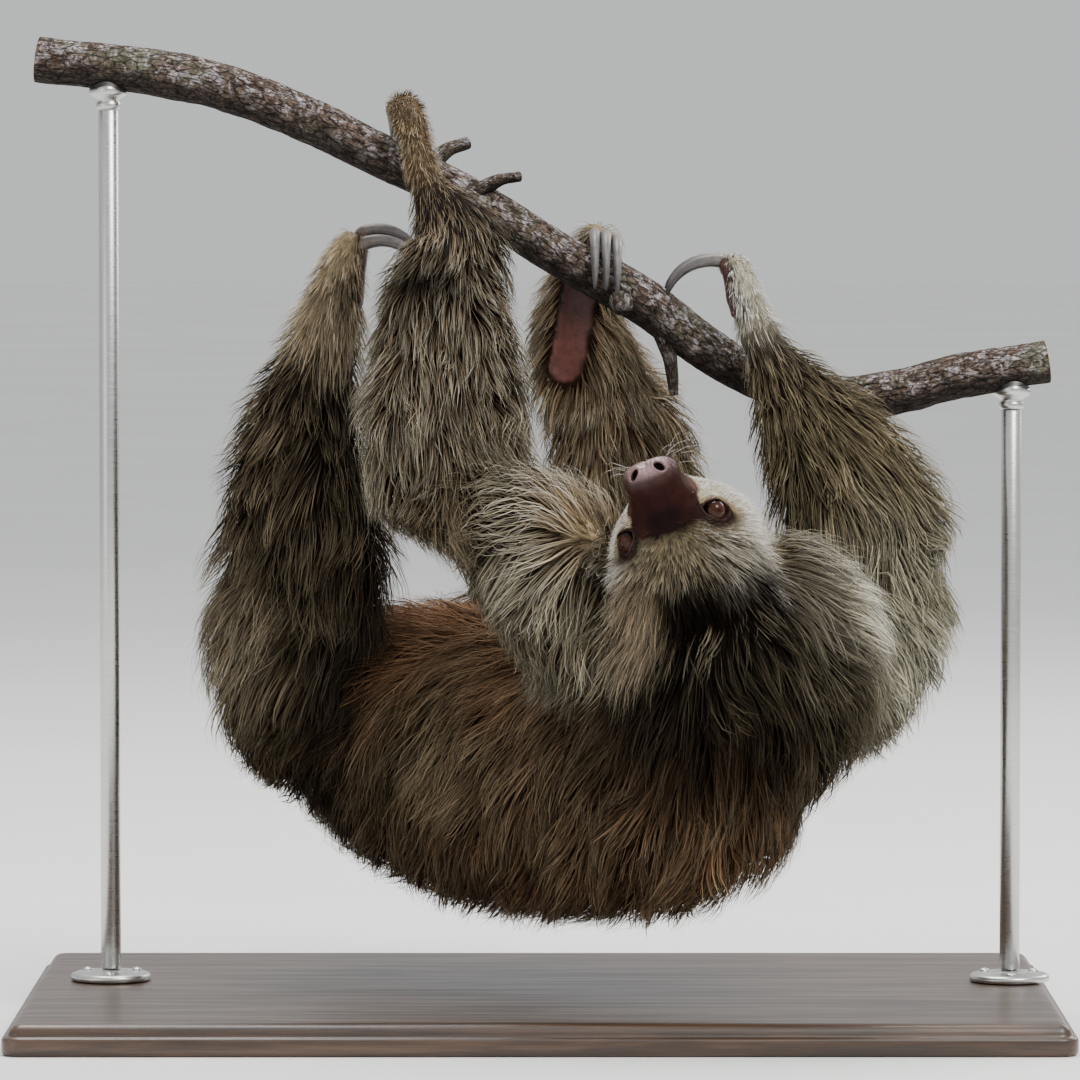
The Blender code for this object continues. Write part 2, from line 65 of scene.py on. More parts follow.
# Each part is a line of stations: centre (x, y, z), half height and half depth over the coat. After them
# come the coat's depth at the first and at the last station.
PARTS = {
    "trunk": ([
        (-0.122, 0.098, 0.19, 0.074, 0.062), (-0.095, 0.07, 0.184, 0.088, 0.078),
        (-0.055, 0.026, 0.174, 0.096, 0.085), (-0.01, -0.02, 0.166, 0.098, 0.088),
        (0.035, -0.066, 0.166, 0.096, 0.088), (0.078, -0.104, 0.172, 0.097, 0.092),
        (0.116, -0.114, 0.184, 0.088, 0.09),
    ], (0.022, 0.022)),
    "neck": ([
        (0.125, -0.146, 0.294, 0.074, 0.06), (0.127, -0.146, 0.256, 0.093, 0.074),
        (0.121, -0.138, 0.214, 0.091, 0.078), (0.11, -0.122, 0.18, 0.072, 0.07),
    ], (0.024, 0.024)),
    "upper_arm_left": ([
        (0.046, -0.138, 0.264, 0.054, 0.048), (0.016, -0.143, 0.296, 0.057, 0.049),
        (-0.014, -0.146, 0.322, 0.047, 0.045), (-0.038, -0.146, 0.342, 0.034, 0.04),
    ], (0.022, 0.018)),
    "forearm_left": ([
        (-0.057, -0.14, 0.337, 0.048, 0.041), (-0.059, -0.124, 0.375, 0.058, 0.043),
        (-0.059, -0.098, 0.425, 0.054, 0.038), (-0.06, -0.07, 0.472, 0.0445, 0.031),
        (-0.055, -0.05, 0.502, 0.037, 0.022), (-0.071, -0.038, 0.535, 0.015, 0.013),
    ], (0.024, 0.0035)),
    "upper_arm_right": ([
        (0.166, -0.084, 0.232, 0.06, 0.054), (0.197, -0.07, 0.246, 0.062, 0.054),
        (0.219, -0.06, 0.28, 0.055, 0.047),
    ], (0.024, 0.022)),
    "forearm_right": ([
        (0.216, -0.06, 0.3, 0.058, 0.046), (0.199, -0.054, 0.342, 0.057, 0.042),
        (0.174, -0.046, 0.386, 0.044, 0.033), (0.151, -0.038, 0.424, 0.0245, 0.019),
        (0.14, -0.034, 0.444, 0.017, 0.014),
    ], (0.023, 0.0035)),
    "thigh_left": ([
        (-0.118, 0.052, 0.186, 0.056, 0.056), (-0.148, 0.026, 0.204, 0.06, 0.058),
        (-0.158, 0.008, 0.24, 0.062, 0.054), (-0.155, -0.004, 0.272, 0.06, 0.05),
    ], (0.022, 0.022)),
    "shank_left": ([
        (-0.15, -0.004, 0.294, 0.064, 0.05), (-0.152, -0.002, 0.332, 0.059, 0.045),
        (-0.152, 0.002, 0.376, 0.05, 0.037), (-0.146, 0.007, 0.412, 0.04, 0.028),
        (-0.143, 0.01, 0.43, 0.035, 0.024),
    ], (0.024, 0.012)),
    "thigh_right": ([
        (-0.06, 0.104, 0.198, 0.056, 0.055), (-0.016, 0.112, 0.236, 0.054, 0.053),
        (0.022, 0.112, 0.28, 0.052, 0.05), (0.05, 0.106, 0.304, 0.047, 0.045),
    ], (0.02, 0.02)),
    "shank_right": ([
        (0.066, 0.096, 0.318, 0.052, 0.045), (0.06, 0.082, 0.35, 0.051, 0.041),
        (0.051, 0.064, 0.376, 0.05, 0.034), (0.044, 0.052, 0.396, 0.047, 0.029),
    ], (0.022, 0.013)),
    "hand_left": ([
        (-0.0745, -0.036, 0.541, 0.0128, 0.0118), (-0.079, -0.031, 0.563, 0.013, 0.0105),
        (-0.085, -0.022, 0.583, 0.0132, 0.01), (-0.089, -0.006, 0.589, 0.012, 0.0085),
        (-0.091, 0.01, 0.587, 0.01, 0.0075),
    ], (0.003, 0.0015)),
    "hand_right": ([
        (0.138, -0.033, 0.45, 0.015, 0.0125), (0.132, -0.031, 0.466, 0.014, 0.011),
        (0.128, -0.028, 0.481, 0.012, 0.01), (0.122, -0.023, 0.49, 0.0095, 0.009),
    ], (0.0032, 0.0015)),
    "foot_left": ([
        (-0.1405, 0.01, 0.438, 0.0325, 0.022), (-0.133, 0.01, 0.464, 0.026, 0.019),
        (-0.127, 0.011, 0.488, 0.0185, 0.016), (-0.121, 0.012, 0.503, 0.012, 0.0135),
    ], (0.0105, 0.002)),
    "foot_right": ([
        (0.0345, 0.046, 0.412, 0.043, 0.026), (0.027, 0.04, 0.438, 0.037, 0.0205),
        (0.025, 0.033, 0.466, 0.029, 0.0155), (0.032, 0.028, 0.489, 0.0215, 0.0125),
        (0.04, 0.0175, 0.507, 0.018, 0.011),
    ], (0.0125, 0.004)),
}
FLESH = ["trunk", "neck", "head", "muzzle"] + [name for name in PARTS if name not in ("trunk", "neck")]

THINNEST = 0.003  # the least radius of a part under its coat
CAP_ANGLES = (88, 12)  # degrees from a cap's rim, at its outermost and innermost ring
POINTS_AT_ONCE = 20000  # measured against a part

# The head's middle, how far the nose points up, how far the head rolls, and how far it leans to its right
HEAD_CENTRE = np.array((0.0877, -0.185, 0.3194))
HEAD_PITCH, HEAD_ROLL, HEAD_LEAN = math.radians(31.5), math.radians(10.3), math.radians(25.4)
# Bare skin of the head: distance along the nose's line, reach to the crown, reach to the chin, half width
HEAD_ROWS = [
    (-0.06, 0.004, -0.004, 0.005), (-0.057, 0.016, -0.017, 0.02), (-0.046, 0.028, -0.03, 0.035),
    (-0.03, 0.0325, -0.037, 0.0415), (-0.012, 0.0315, -0.0395, 0.0435), (0.004, 0.027, -0.0375, 0.042),
    (0.016, 0.0222, -0.0335, 0.0362), (0.026, 0.0196, -0.027, 0.027), (0.036, 0.0182, -0.022, 0.021),
    (0.045, 0.0172, -0.0168, 0.0178), (0.0525, 0.016, -0.0115, 0.0162), (0.058, 0.0134, -0.0072, 0.0142),
    (0.0612, 0.0098, -0.0038, 0.011), (0.0628, 0.0055, -0.001, 0.0066), (0.0633, 0.0025, 0.001, 0.0022),
]
EYE_RADIUS = 0.0072
EYE_RINGS, EYE_SIDES = 48, 64
CORNEA_RISE = 0.0005
EYE_STOPS = [0.0, 0.12, 0.26, 0.60, 0.88, 1.05, 1.25, math.pi]  # radians from the pupil's middle
IRIS_SHADES = [0.28, 0.32, 0.60, 1.0, 0.50, 0.10]  # from the pupil to the iris's dark edge
EYE_PLACE = (0.0180, 0.0105, 0.0280)  # forward, up and sideways on the head
EYE_GAZE = (0.42, 0.55, 0.72)  # straight out of the lids
IRIS_GAZE = (0.30, 0.80, 0.52)  # where the iris looks
EYE_LONG_AXIS = (-0.704, -0.293, 0.645)
LID_LENGTH, LID_HEIGHT = 0.0096, 0.0060
NOSTRIL_PLACE = (0.0615, 0.0075, 0.0086)
NOSTRIL_AXIS = (0.69, 0.67, 0.28)
NOSTRIL_LONG_AXIS = (-0.72, 0.38, 0.58)
NOSTRIL_LENGTH, NOSTRIL_HEIGHT = 0.0037, 0.0024
HEAD_LENGTH = 0.124
HEAD_SQUARENESS = 0.9  # 1 for round sections, less for squarer ones
MOUTH_LEVEL, MOUTH_DEPTH, MOUTH_WIDTH = -0.0060, 0.0011, 0.0010
LIP_OVERHANG = 0.0012
PHILTRUM_DEPTH, PHILTRUM_WIDTH = 0.0005, 0.0011
NOSE_WING = (0.053, 0.0145, 0.006, 0.0016)  # forward, sideways, width and rise of a nostril's swelling
NOSE_FOLD = (0.044, 0.0035, 0.0010)  # forward, width and depth of the fold behind the nose
NOSTRIL_PIT, NOSTRIL_RIM = 0.0052, 0.0006
FAR_FROM_OPENING = 9.0  # the lids' or nostril's ratio on the head's other side
LID_GAP = 0.0008  # between the eyeball and its lids
SOCKET_DEPTH = 0.0010
MUZZLE_EDGE, CHEEK_EDGE = 0.0210, 0.0105  # where bare skin begins, and how much further on the cheeks

CLAW_LENGTH, CLAW_RADIUS, CLAW_TAPER = 0.055, 0.0046, 0.38
CLAW_START, CLAW_END = -0.12, 0.995  # shares of the arc: its root lies in the toe
CLAW_FLATNESS = 0.84
CLAW_RINGS, CLAW_SIDES = 44, 24
CLAW_STOPS = [0.0, 0.10, 0.35, 0.75, 1.0]  # where the horn's shades lie along a claw
# Each paw's claws: root, heading, the way they bend, and the degrees that they turn through
CLAWS = {
    "hand_left": ((-0.0915, 0.0155, 0.585), (0.1, 0.9, -0.42), (0.0, -0.42, -0.9), 125),
    "hand_right": ((0.1225, -0.019, 0.4875), (-0.93, 0.16, 0.33), (-0.25, 0.3, -0.92), 92),
    "foot_left": ((-0.115, 0.014, 0.506), (0.92, -0.05, 0.38), (0.38, 0.05, -0.92), 115),
    "foot_right": ((0.0428, 0.0085, 0.505), (0.0, -0.99, 0.14), (0.0, -0.2, -0.97), 112),
}
# How far each claw's root lies from that of its paw
CLAW_SPREAD = {
    "hand_left": [(-0.005, -0.001, 0.002), (0.005, 0.001, -0.002)],
    "hand_right": [(0.0, 0.0055, 0.001), (0.001, -0.005, 0.0)],
    "foot_left": [(0.001, -0.0085, -0.006), (0.0, 0.0, 0.001), (0.0, 0.009, 0.001)],
    "foot_right": [(-0.0072, 0.0005, 0.001), (0.0, 0.0, 0.0), (0.0072, 0.001, -0.0035)],
}

# The branch's line: centre (x, y, z) and radius
BRANCH_LINE = [
    (-0.326, 0.006, 0.62, 0.0152), (-0.23, 0.003, 0.608, 0.016), (-0.162, 0.0, 0.586, 0.0155),
    (-0.104, 0.0, 0.558, 0.015), (-0.045, 0.0, 0.529, 0.0145), (0.013, 0.0, 0.493, 0.015),
    (0.065, 0.0, 0.464, 0.016), (0.104, 0.0, 0.435, 0.015), (0.143, 0.002, 0.413, 0.0145),
    (0.188, 0.003, 0.4, 0.015), (0.231, 0.0, 0.404, 0.0155), (0.273, -0.002, 0.415, 0.015),
    (0.329, 0.0, 0.4235, 0.0148),
]
# The lines of its broken twigs and knots
TWIGS = [
    ((-0.076, 0.006, 0.545, 0.007), (-0.062, 0.012, 0.56, 0.0055), (-0.047, 0.018, 0.566, 0.0045)),
    ((-0.046, -0.004, 0.53, 0.007), (-0.028, -0.01, 0.541, 0.0048), (-0.013, -0.014, 0.544, 0.0036)),
    ((0.076, -0.002, 0.452, 0.008), (0.084, -0.003, 0.428, 0.0055), (0.087, -0.003, 0.403, 0.0035)),
    ((0.052, -0.006, 0.466, 0.009), (0.053, -0.012, 0.462, 0.0085), (0.054, -0.015, 0.459, 0.007)),
]

WOOD_CAP_RINGS = 6
WOOD_RADIUS = 0.016  # the mean radius, on which the bark's pattern is laid
RIDGE_SPACING, LUMP_SPACING = 0.0110, 0.045

# The base's moulding: how far in from its edge, and how high, for a board 20 mm thick
BOARD_EDGE = [
    (0.3, 0.0), (0.01, 0.0), (0.0025, 0.0), (0.001, 0.0008), (0.0003, 0.002), (0.0, 0.004), (0.0, 0.0095),
    (0.0004, 0.0108), (0.0016, 0.0116), (0.0034, 0.012), (0.004, 0.0126), (0.0044, 0.014), (0.0054, 0.0162),
    (0.0072, 0.0182), (0.0096, 0.0194), (0.0125, 0.0199), (0.016, 0.02), (0.03, 0.02), (0.3, 0.02),
]
BOARD_CORNER = 0.012
SCREWS, SCREW_REACH = 3, 0.0185
SCREW_HEAD = [(0.0034, 0.0), (0.0034, 0.0006), (0.003, 0.0014), (0.002, 0.002), (0.0012, 0.0021),
              (0.0009, 0.0012)]


# ------------ shapes as functions on grids
def unit(vectors):
    """Vectors divided by their length."""
    vectors = np.asarray(vectors, float)
    return vectors / np.maximum(np.linalg.norm(vectors, axis=-1, keepdims=True), 1e-12)


def ramp(value, start, end):
    """0 at start and 1 at end, with a smooth S between them: 3 t squared less 2 t cubed."""
    t = np.clip((value - start) / (end - start), 0, 1)
    return t * t * (3 - 2 * t)


def hill(value, middle, width):
    """A bell that is 1 at the middle and falls to 1/e one width away on both sides."""
    return np.exp(-((value - middle) / width) ** 2)


def smooth_line(rows, steps):
    """A Catmull-Rom curve through the rows of an array, with the given steps between two rows."""
    rows = np.asarray(rows, float)
    padded = np.vstack([2 * rows[0] - rows[1], rows, 2 * rows[-1] - rows[-2]])
    t = (np.arange(steps) / steps)[None, :, None]
    a, b, c, d = (padded[i:len(rows) - 1 + i, None, :] for i in range(4))
    line = 0.5 * (2 * b + (c - a) * t + (2 * a - 5 * b + 4 * c - d) * t ** 2
                  + (3 * b - a - 3 * c + d) * t ** 3)
    return np.vstack([line.reshape(-1, rows.shape[1]), rows[-1:]])


def ripple(points, wavelength, seed, octaves=3):
    """Smooth noise from -1 to 1: in each octave six sine waves run in seeded directions, at half the
    wavelength and half the height of the octave before."""
    waves = np.random.default_rng(seed)
    total, size, full = np.zeros(points.shape[:-1]), 1.0, 0.0
    for _ in range(octaves):
        directions = unit(waves.normal(size=(6, 3))) * TURN / wavelength * waves.uniform(0.7, 1.3, (6, 1))
        phases = waves.uniform(0, TURN, 6)
        total += size * np.sin(points @ directions.T + phases).sum(-1) / 3.2
        full += size
        size, wavelength = size / 2, wavelength / 2
    return np.clip(total / full, -1, 1)


class Loft:
    """A body part as a smooth line of elliptic sections.

    At station s its surface is centre + cos(turn) height wide + sin(turn) depth deep. Deep is the
    reference direction squared to the line, and wide is square to both. Each end closes on half an
    ellipsoid that reaches past the last centre by cap times the mean radius there.
    """

    def __init__(self, stations, coat=(0.0, 0.0), steps=8, cap=0.5, reference=(0, 1, 0)):
        line = smooth_line(stations, steps)
        share = np.linspace(0, 1, len(line))[:, None]
        self.centre = line[:, :3]
        self.radii = np.maximum(line[:, 3:] - (coat[0] + (coat[1] - coat[0]) * share), THINNEST)
        self.along = unit(np.gradient(self.centre, axis=0))
        reference = np.asarray(reference, float)
        self.deep = unit(reference - (self.along @ reference)[:, None] * self.along)
        self.wide = np.cross(self.along, self.deep)
        self.cap = cap
        self.coat = coat

    def grid(self, sides, cap_rings=6):
        """Points on the surface, rings by sides, with small end rings in place of the poles."""
        angles = np.linspace(*CAP_ANGLES, cap_rings) * math.pi / 180
        reach = self.cap * self.radii.mean(1)
        first, last = self.centre[0], self.centre[-1]
        rings = [(first - self.along[0] * reach[0] * math.sin(a), 0, math.cos(a)) for a in angles]
        rings += [(centre, i, 1.0) for i, centre in enumerate(self.centre)]
        rings += [(last + self.along[-1] * reach[-1] * math.sin(a), -1, math.cos(a)) for a in angles[::-1]]
        turn = TURN * np.arange(sides) / sides
        made = [place + np.outer(np.cos(turn) * self.radii[i, 0] * size, self.wide[i])
                + np.outer(np.sin(turn) * self.radii[i, 1] * size, self.deep[i]) for place, i, size in rings]
        return np.array(made)

    def local(self, points):
        """For each point: its ratio to the surface (1 on it, less inside), the outward normal there, the mean
        radius, and the share of the line that lies before it."""
        starts = range(0, len(points), POINTS_AT_ONCE)
        parts = [self.local_to_few(points[i:i + POINTS_AT_ONCE]) for i in starts]
        return [np.concatenate(rows) for rows in zip(*parts)]

    def local_to_few(self, points):
        """The same for so few points that they are measured against every station at once."""
        last = len(self.centre) - 1
        i = ((points[:, None, :] - self.centre[None]) ** 2).sum(-1).argmin(1)
        wide, deep, along, radii = self.wide[i], self.deep[i], self.along[i], self.radii[i]
        v = points - self.centre[i]
        x = (v * wide).sum(1) / radii[:, 0]
        y = (v * deep).sum(1) / radii[:, 1]
        mean = radii.mean(1)
        z = np.where((i == 0) | (i == last), (v * along).sum(1), 0) / (self.cap * mean)
        normal = unit(x[:, None] / radii[:, :1] * wide + y[:, None] / radii[:, 1:] * deep
                      + z[:, None] / (self.cap * mean)[:, None] * along)
        return np.sqrt(x * x + y * y + z * z), normal, mean, i / last


def head_axes():
    """Unit vectors along the nose, out of the crown, and to the animal's right."""
    nose = np.array((0, -math.sin(HEAD_PITCH), math.cos(HEAD_PITCH)))
    crown = np.array((-math.sin(HEAD_ROLL), -math.cos(HEAD_PITCH) * math.cos(HEAD_ROLL),
                      -math.sin(HEAD_PITCH) * math.cos(HEAD_ROLL)))
    c, s = math.cos(HEAD_LEAN), math.sin(HEAD_LEAN)
    lean = np.array(((c, 0, -s), (0, 1, 0), (s, 0, c)))
    nose, crown = lean @ nose, lean @ crown
    return np.array((nose, crown, np.cross(nose, crown)))


HEAD_AXES = head_axes()


def on_head(local):
    """World places from distances forward, up and sideways on the head."""
    return HEAD_CENTRE + np.asarray(local, float) @ HEAD_AXES


def to_head(places):
    """Distances forward, up and sideways on the head from world places."""
    return (places - HEAD_CENTRE) @ HEAD_AXES.T


def head_loft():
    """The head as a loft along the nose's line, for hair that has to stay out of it."""
    stations = [(*on_head((forward, (up + down) / 2, 0)), (up - down) / 2, width)
                for forward, up, down, width in HEAD_ROWS[1:-1]]
    return Loft(stations, steps=4, cap=0.3, reference=HEAD_AXES[2])


def side_frame(side, place, out, long_axis):
    """A place on the head's right (1) or left (-1), and its axes: out, along, and across both."""
    mirror = np.array((1, 1, side))
    out = unit(out * mirror)
    long_axis = long_axis * mirror
    long_axis = unit(long_axis - long_axis @ out * out)
    return place * mirror, out, long_axis, np.cross(out, long_axis)


def eye_frame(side, gaze=EYE_GAZE):
    """The frame of an eye, along its lids' gaze or another."""
    return side_frame(side, EYE_PLACE, gaze, EYE_LONG_AXIS)


def nostril_frame(side):
    """The frame of a nostril."""
    return side_frame(side, NOSTRIL_PLACE, NOSTRIL_AXIS, NOSTRIL_LONG_AXIS)


def below_eye(local, side, start, end):
    """1 below an eye's long axis and 0 above it, changing between two distances above it."""
    centre, _, _, across = eye_frame(side)
    return ramp((local - centre) @ across, start * side, end * side)


def lid_ratio(local, side):
    """How far a place on the head lies from the eye's middle, as a ratio that is 1 on the lids' edge. The
    opening is an ellipse towards the outer corner and a pointed leaf towards the inner one."""
    centre, gaze, long_axis, cross = eye_frame(side)
    v = local - centre
    a, b = v @ long_axis / LID_LENGTH, np.abs(v @ cross) / LID_HEIGHT
    power = np.where(a < 0, 1.45, 2.0)
    ratio = (np.abs(a) ** power + b ** power) ** (1 / power)
    return np.where(v @ gaze > -0.006, ratio, FAR_FROM_OPENING)


def nostril_ratio(local, side):
    """The same for a nostril, across its own axis: 1 on the edge of its slanted oval."""
    centre, axis, long_axis, cross = nostril_frame(side)
    v = local - centre
    a, b = v @ long_axis / NOSTRIL_LENGTH, v @ cross / NOSTRIL_HEIGHT
    return np.where(v @ axis > -0.009, np.sqrt(a * a + b * b), FAR_FROM_OPENING)


def face_folds(local):
    """How far the face rises or sinks: the mouth's groove, the lower lip drawn in under it, the philtrum, the
    swellings round the nostrils, the fold behind the nose, and fine lumps."""
    forward, height, across = local[..., 0], local[..., 1], local[..., 2]
    wing_forward, wing_across, wing_width, wing_rise = NOSE_WING
    fold_forward, fold_width, fold_depth = NOSE_FOLD
    rise = -MOUTH_DEPTH * hill(height, MOUTH_LEVEL, MOUTH_WIDTH) * ramp(forward, 0.018, 0.026)
    lower_lip = ramp(-height, -MOUTH_LEVEL, -MOUTH_LEVEL + 0.002)
    rise = rise - LIP_OVERHANG * lower_lip * ramp(forward, 0.018, 0.035)
    middle = hill(across, 0, PHILTRUM_WIDTH) * ramp(forward, 0.053, 0.058)
    rise = rise - PHILTRUM_DEPTH * middle * (height > MOUTH_LEVEL)
    rise = rise + wing_rise * np.exp(-((forward - wing_forward) / wing_width) ** 2
                                     - ((np.abs(across) - wing_across) / wing_width) ** 2)
    rise = rise - fold_depth * hill(forward, fold_forward, fold_width) * ramp(np.abs(across), 0.010, 0.016)
    return rise + 0.00025 * ripple(local, 0.006, 5) * ramp(forward, 0.022, 0.03)


def sink_nostril(local, side):
    """Places on the head with a nostril's pit sunk into them inside a low rim."""
    ratio = nostril_ratio(local, side)
    pit = -NOSTRIL_PIT * ramp(ratio, 1.12, 0.62) + NOSTRIL_RIM * hill(ratio, 1.45, 0.28)
    return local + pit[..., None] * nostril_frame(side)[1]


def shape_lids(local, side):
    """Places on the head with the lids laid over the eyeball, a rim on their edge, a fold outside that, and
    the socket's floor inside them."""
    centre, gaze, _, _ = eye_frame(side)
    ratio = lid_ratio(local, side)
    v = local - centre
    depth = v @ gaze
    flat = np.linalg.norm(v - depth[..., None] * gaze, axis=-1)
    on_ball = np.sqrt(np.maximum((EYE_RADIUS + LID_GAP) ** 2 - flat ** 2, 0.0024 ** 2))
    rim = 0.0006 * hill(ratio, 1.10, 0.09) + 0.0005 * hill(ratio, 1.62, 0.12)
    lid = on_ball + rim - 0.0005 * hill(ratio, 1.38, 0.10)
    blend = ramp(ratio, 2.3, 1.12)
    shaped = np.where(ratio < 1.0, -SOCKET_DEPTH, depth * (1 - blend) + lid * blend)
    return local + np.where(ratio < 2.3, shaped - depth, 0)[..., None] * gaze


def head_surface(steps=12, sides=280):
    """The bare head as a grid of places on the head: squarish sections across the nose's line, with the
    face's folds, the nostrils and the lids."""
    line = smooth_line(HEAD_ROWS, steps)
    turn = TURN * np.arange(sides) / sides
    up, side = np.cos(turn), np.sin(turn)
    reach = np.where(up[None] > 0, line[:, 1:2], -line[:, 2:3])
    local = np.stack([np.repeat(line[:, :1], sides, 1),
                      np.sign(up) * np.abs(up) ** HEAD_SQUARENESS * reach,
                      np.sign(side) * np.abs(side) ** HEAD_SQUARENESS * line[:, 3:4]], -1)
    outward = unit(local * (0, 1, 1) + ramp(line[:, 0], 0.048, 0.063)[:, None, None] * (0.016, 0, 0))
    local = local + outward * face_folds(local)[..., None]
    for which in (-1, 1):
        local = shape_lids(sink_nostril(local, which), which)
    return local


def ahead_of_edge(local):
    """How far places on the head lie ahead of the line where the muzzle's bare skin begins. It runs from
    between the eyes forward to the cheeks."""
    turn = np.arctan2(np.abs(local[..., 2]), local[..., 1])
    uneven = 0.0015 * ripple(local, 0.008, 11)
    return local[..., 0] - MUZZLE_EDGE - CHEEK_EDGE * ramp(turn, 0.70, 1.25) - uneven


def bare_share(local):
    """1 on the head's bare skin and 0 on fur: the muzzle ahead of its edge, and a rim round each eye."""
    bare = ramp(ahead_of_edge(local), -0.0008, 0.0008)
    for side in (-1, 1):
        lower = below_eye(local, side, 0.004, -0.004)
        bare = np.maximum(bare, ramp(lid_ratio(local, side), 1.38 + 0.2 * lower, 1.22 + 0.2 * lower))
    return bare


# ------------ meshes from arrays
def grid_quads(rows, columns, closed=True):
    """Four-cornered faces over a grid of rows by columns. The columns close into a ring."""
    row = np.arange(rows - 1)[:, None] * columns
    column = np.arange(columns if closed else columns - 1)[None]
    after = (column + 1) % columns
    corners = [row + column, row + after, row + columns + after, row + columns + column]
    return np.stack(corners, -1).reshape(-1, 4)


def closed_tube(rings):
    """Places, four-cornered and three-cornered faces of rings by sides, closed by a point at each end."""
    rows, sides = rings.shape[:2]
    places = np.vstack([rings.reshape(-1, 3), rings[0].mean(0), rings[-1].mean(0)])
    here = np.arange(sides)
    after = (here + 1) % sides
    pole = rows * sides
    first = np.stack([after, here, np.full(sides, pole)], -1)
    last = np.stack([here, after, np.full(sides, pole + 1)], -1)
    last[:, :2] += (rows - 1) * sides
    return places, grid_quads(rows, sides), np.vstack([first, last])


def gather(shapes):
    """Several sets of places, four-cornered and three-cornered faces as one."""
    starts = np.cumsum([0] + [len(places) for places, _, _ in shapes])
    places = np.vstack([places for places, _, _ in shapes])
    quads = np.vstack([np.reshape(quads, (-1, 4)) + start for (_, quads, _), start in zip(shapes, starts)])
    triangles = np.vstack([np.reshape(t, (-1, 3)) + start for (_, _, t), start in zip(shapes, starts)])
    return places, quads, triangles


def cut_quads(quads):
    """Four-cornered faces cut into three-cornered ones."""
    return np.vstack([quads[:, :3], quads[:, [0, 2, 3]]])


def facing_out(places, quads, triangles):
    """The same closed shape with its faces turned outwards, found from the sign of its volume."""
    corners = np.vstack([cut_quads(quads), triangles])
    a, b, c = (places[corners[:, i]] for i in range(3))
    if (a * np.cross(b, c)).sum() < 0:
        return places, quads[:, ::-1], triangles[:, ::-1]
    return places, quads, triangles


def vertex_normals(places, quads):
    """The unit normal at each place: the sum of those of the four-cornered faces round it."""
    a, b, c = (places[quads[:, i]] for i in (0, 1, 3))
    faces = np.cross(b - a, c - a)
    sums = [np.bincount(quads.ravel(), np.repeat(faces[:, axis], 4), len(places)) for axis in range(3)]
    return unit(np.stack(sums, 1))


def make_mesh(name, places, quads, triangles):
    """A mesh from whole arrays. Its places move back to where the branch stands over the base."""
    mesh = bpy.data.meshes.new(name)
    corners = np.concatenate([quads.ravel(), triangles.ravel()]).astype(np.int32)
    sizes = np.concatenate([np.full(len(quads), 4), np.full(len(triangles), 3)])
    starts = np.concatenate([[0], np.cumsum(sizes)[:-1]]).astype(np.int32)
    mesh.vertices.add(len(places))
    mesh.vertices.foreach_set("co", (places + (0, SET_BACK, 0)).astype(np.float32).ravel())
    mesh.loops.add(len(corners))
    mesh.loops.foreach_set("vertex_index", corners)
    mesh.polygons.add(len(sizes))
    mesh.polygons.foreach_set("loop_start", starts)
    mesh.update(calc_edges=True)
    return mesh


def add_map(mesh, name, corners):
    """A UV map from one pair of numbers for each corner of each face."""
    layer = mesh.uv_layers.new(name=name)
    layer.uv.foreach_set("vector", np.asarray(corners, np.float32).ravel())


def at_corners(values, quads, triangles):
    """The vertices' values at each corner of each face."""
    return np.concatenate([values[quads.ravel()], values[triangles.ravel()]])


def add_tint(mesh, colours):
    """The colour attribute "tint" from one colour for each vertex."""
    layer = mesh.color_attributes.new(name="tint", type="FLOAT_COLOR", domain="POINT")
    full = np.concatenate([colours, np.ones((len(colours), 1))], 1)
    layer.data.foreach_set("color", full.astype(np.float32).ravel())


def add_share(mesh, name, values):
    """An attribute from one number for each vertex."""
    layer = mesh.attributes.new(name, "FLOAT", "POINT")
    layer.data.foreach_set("value", np.asarray(values, np.float32))


def between_stops(share, stops, colours):
    """A colour for each share, run evenly between the colours at the stops."""
    return np.stack([np.interp(share, stops, channel) for channel in np.transpose(colours)], 1)


def new_object(name, data):
    """A new object in the scene."""
    made = bpy.data.objects.new(name, data)
    bpy.context.scene.collection.objects.link(made)
    return made


def put(name, mesh, finish, nodes=()):
    """Puts a mesh into the scene as a finished piece, in place of the given nodes."""
    made = new_object(name, mesh)
    mesh.materials.append(finish)
    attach(made, "root")
    if nodes:
        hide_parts(*nodes)


def put_shape(name, shape, finish, nodes=()):
    """Puts a closed shape into the scene as a finished piece."""
    put(name, make_mesh(name, *shape), finish, nodes)


def read_mesh(mesh):
    """The places and four-cornered faces of a mesh as arrays, in the branch's own frame."""
    places = np.empty(len(mesh.vertices) * 3, np.float32)
    mesh.vertices.foreach_get("co", places)
    quads = np.empty(len(mesh.loops), np.int32)
    mesh.loops.foreach_get("vertex_index", quads)
    return places.reshape(-1, 3) - (0, SET_BACK, 0), quads.reshape(-1, 4)


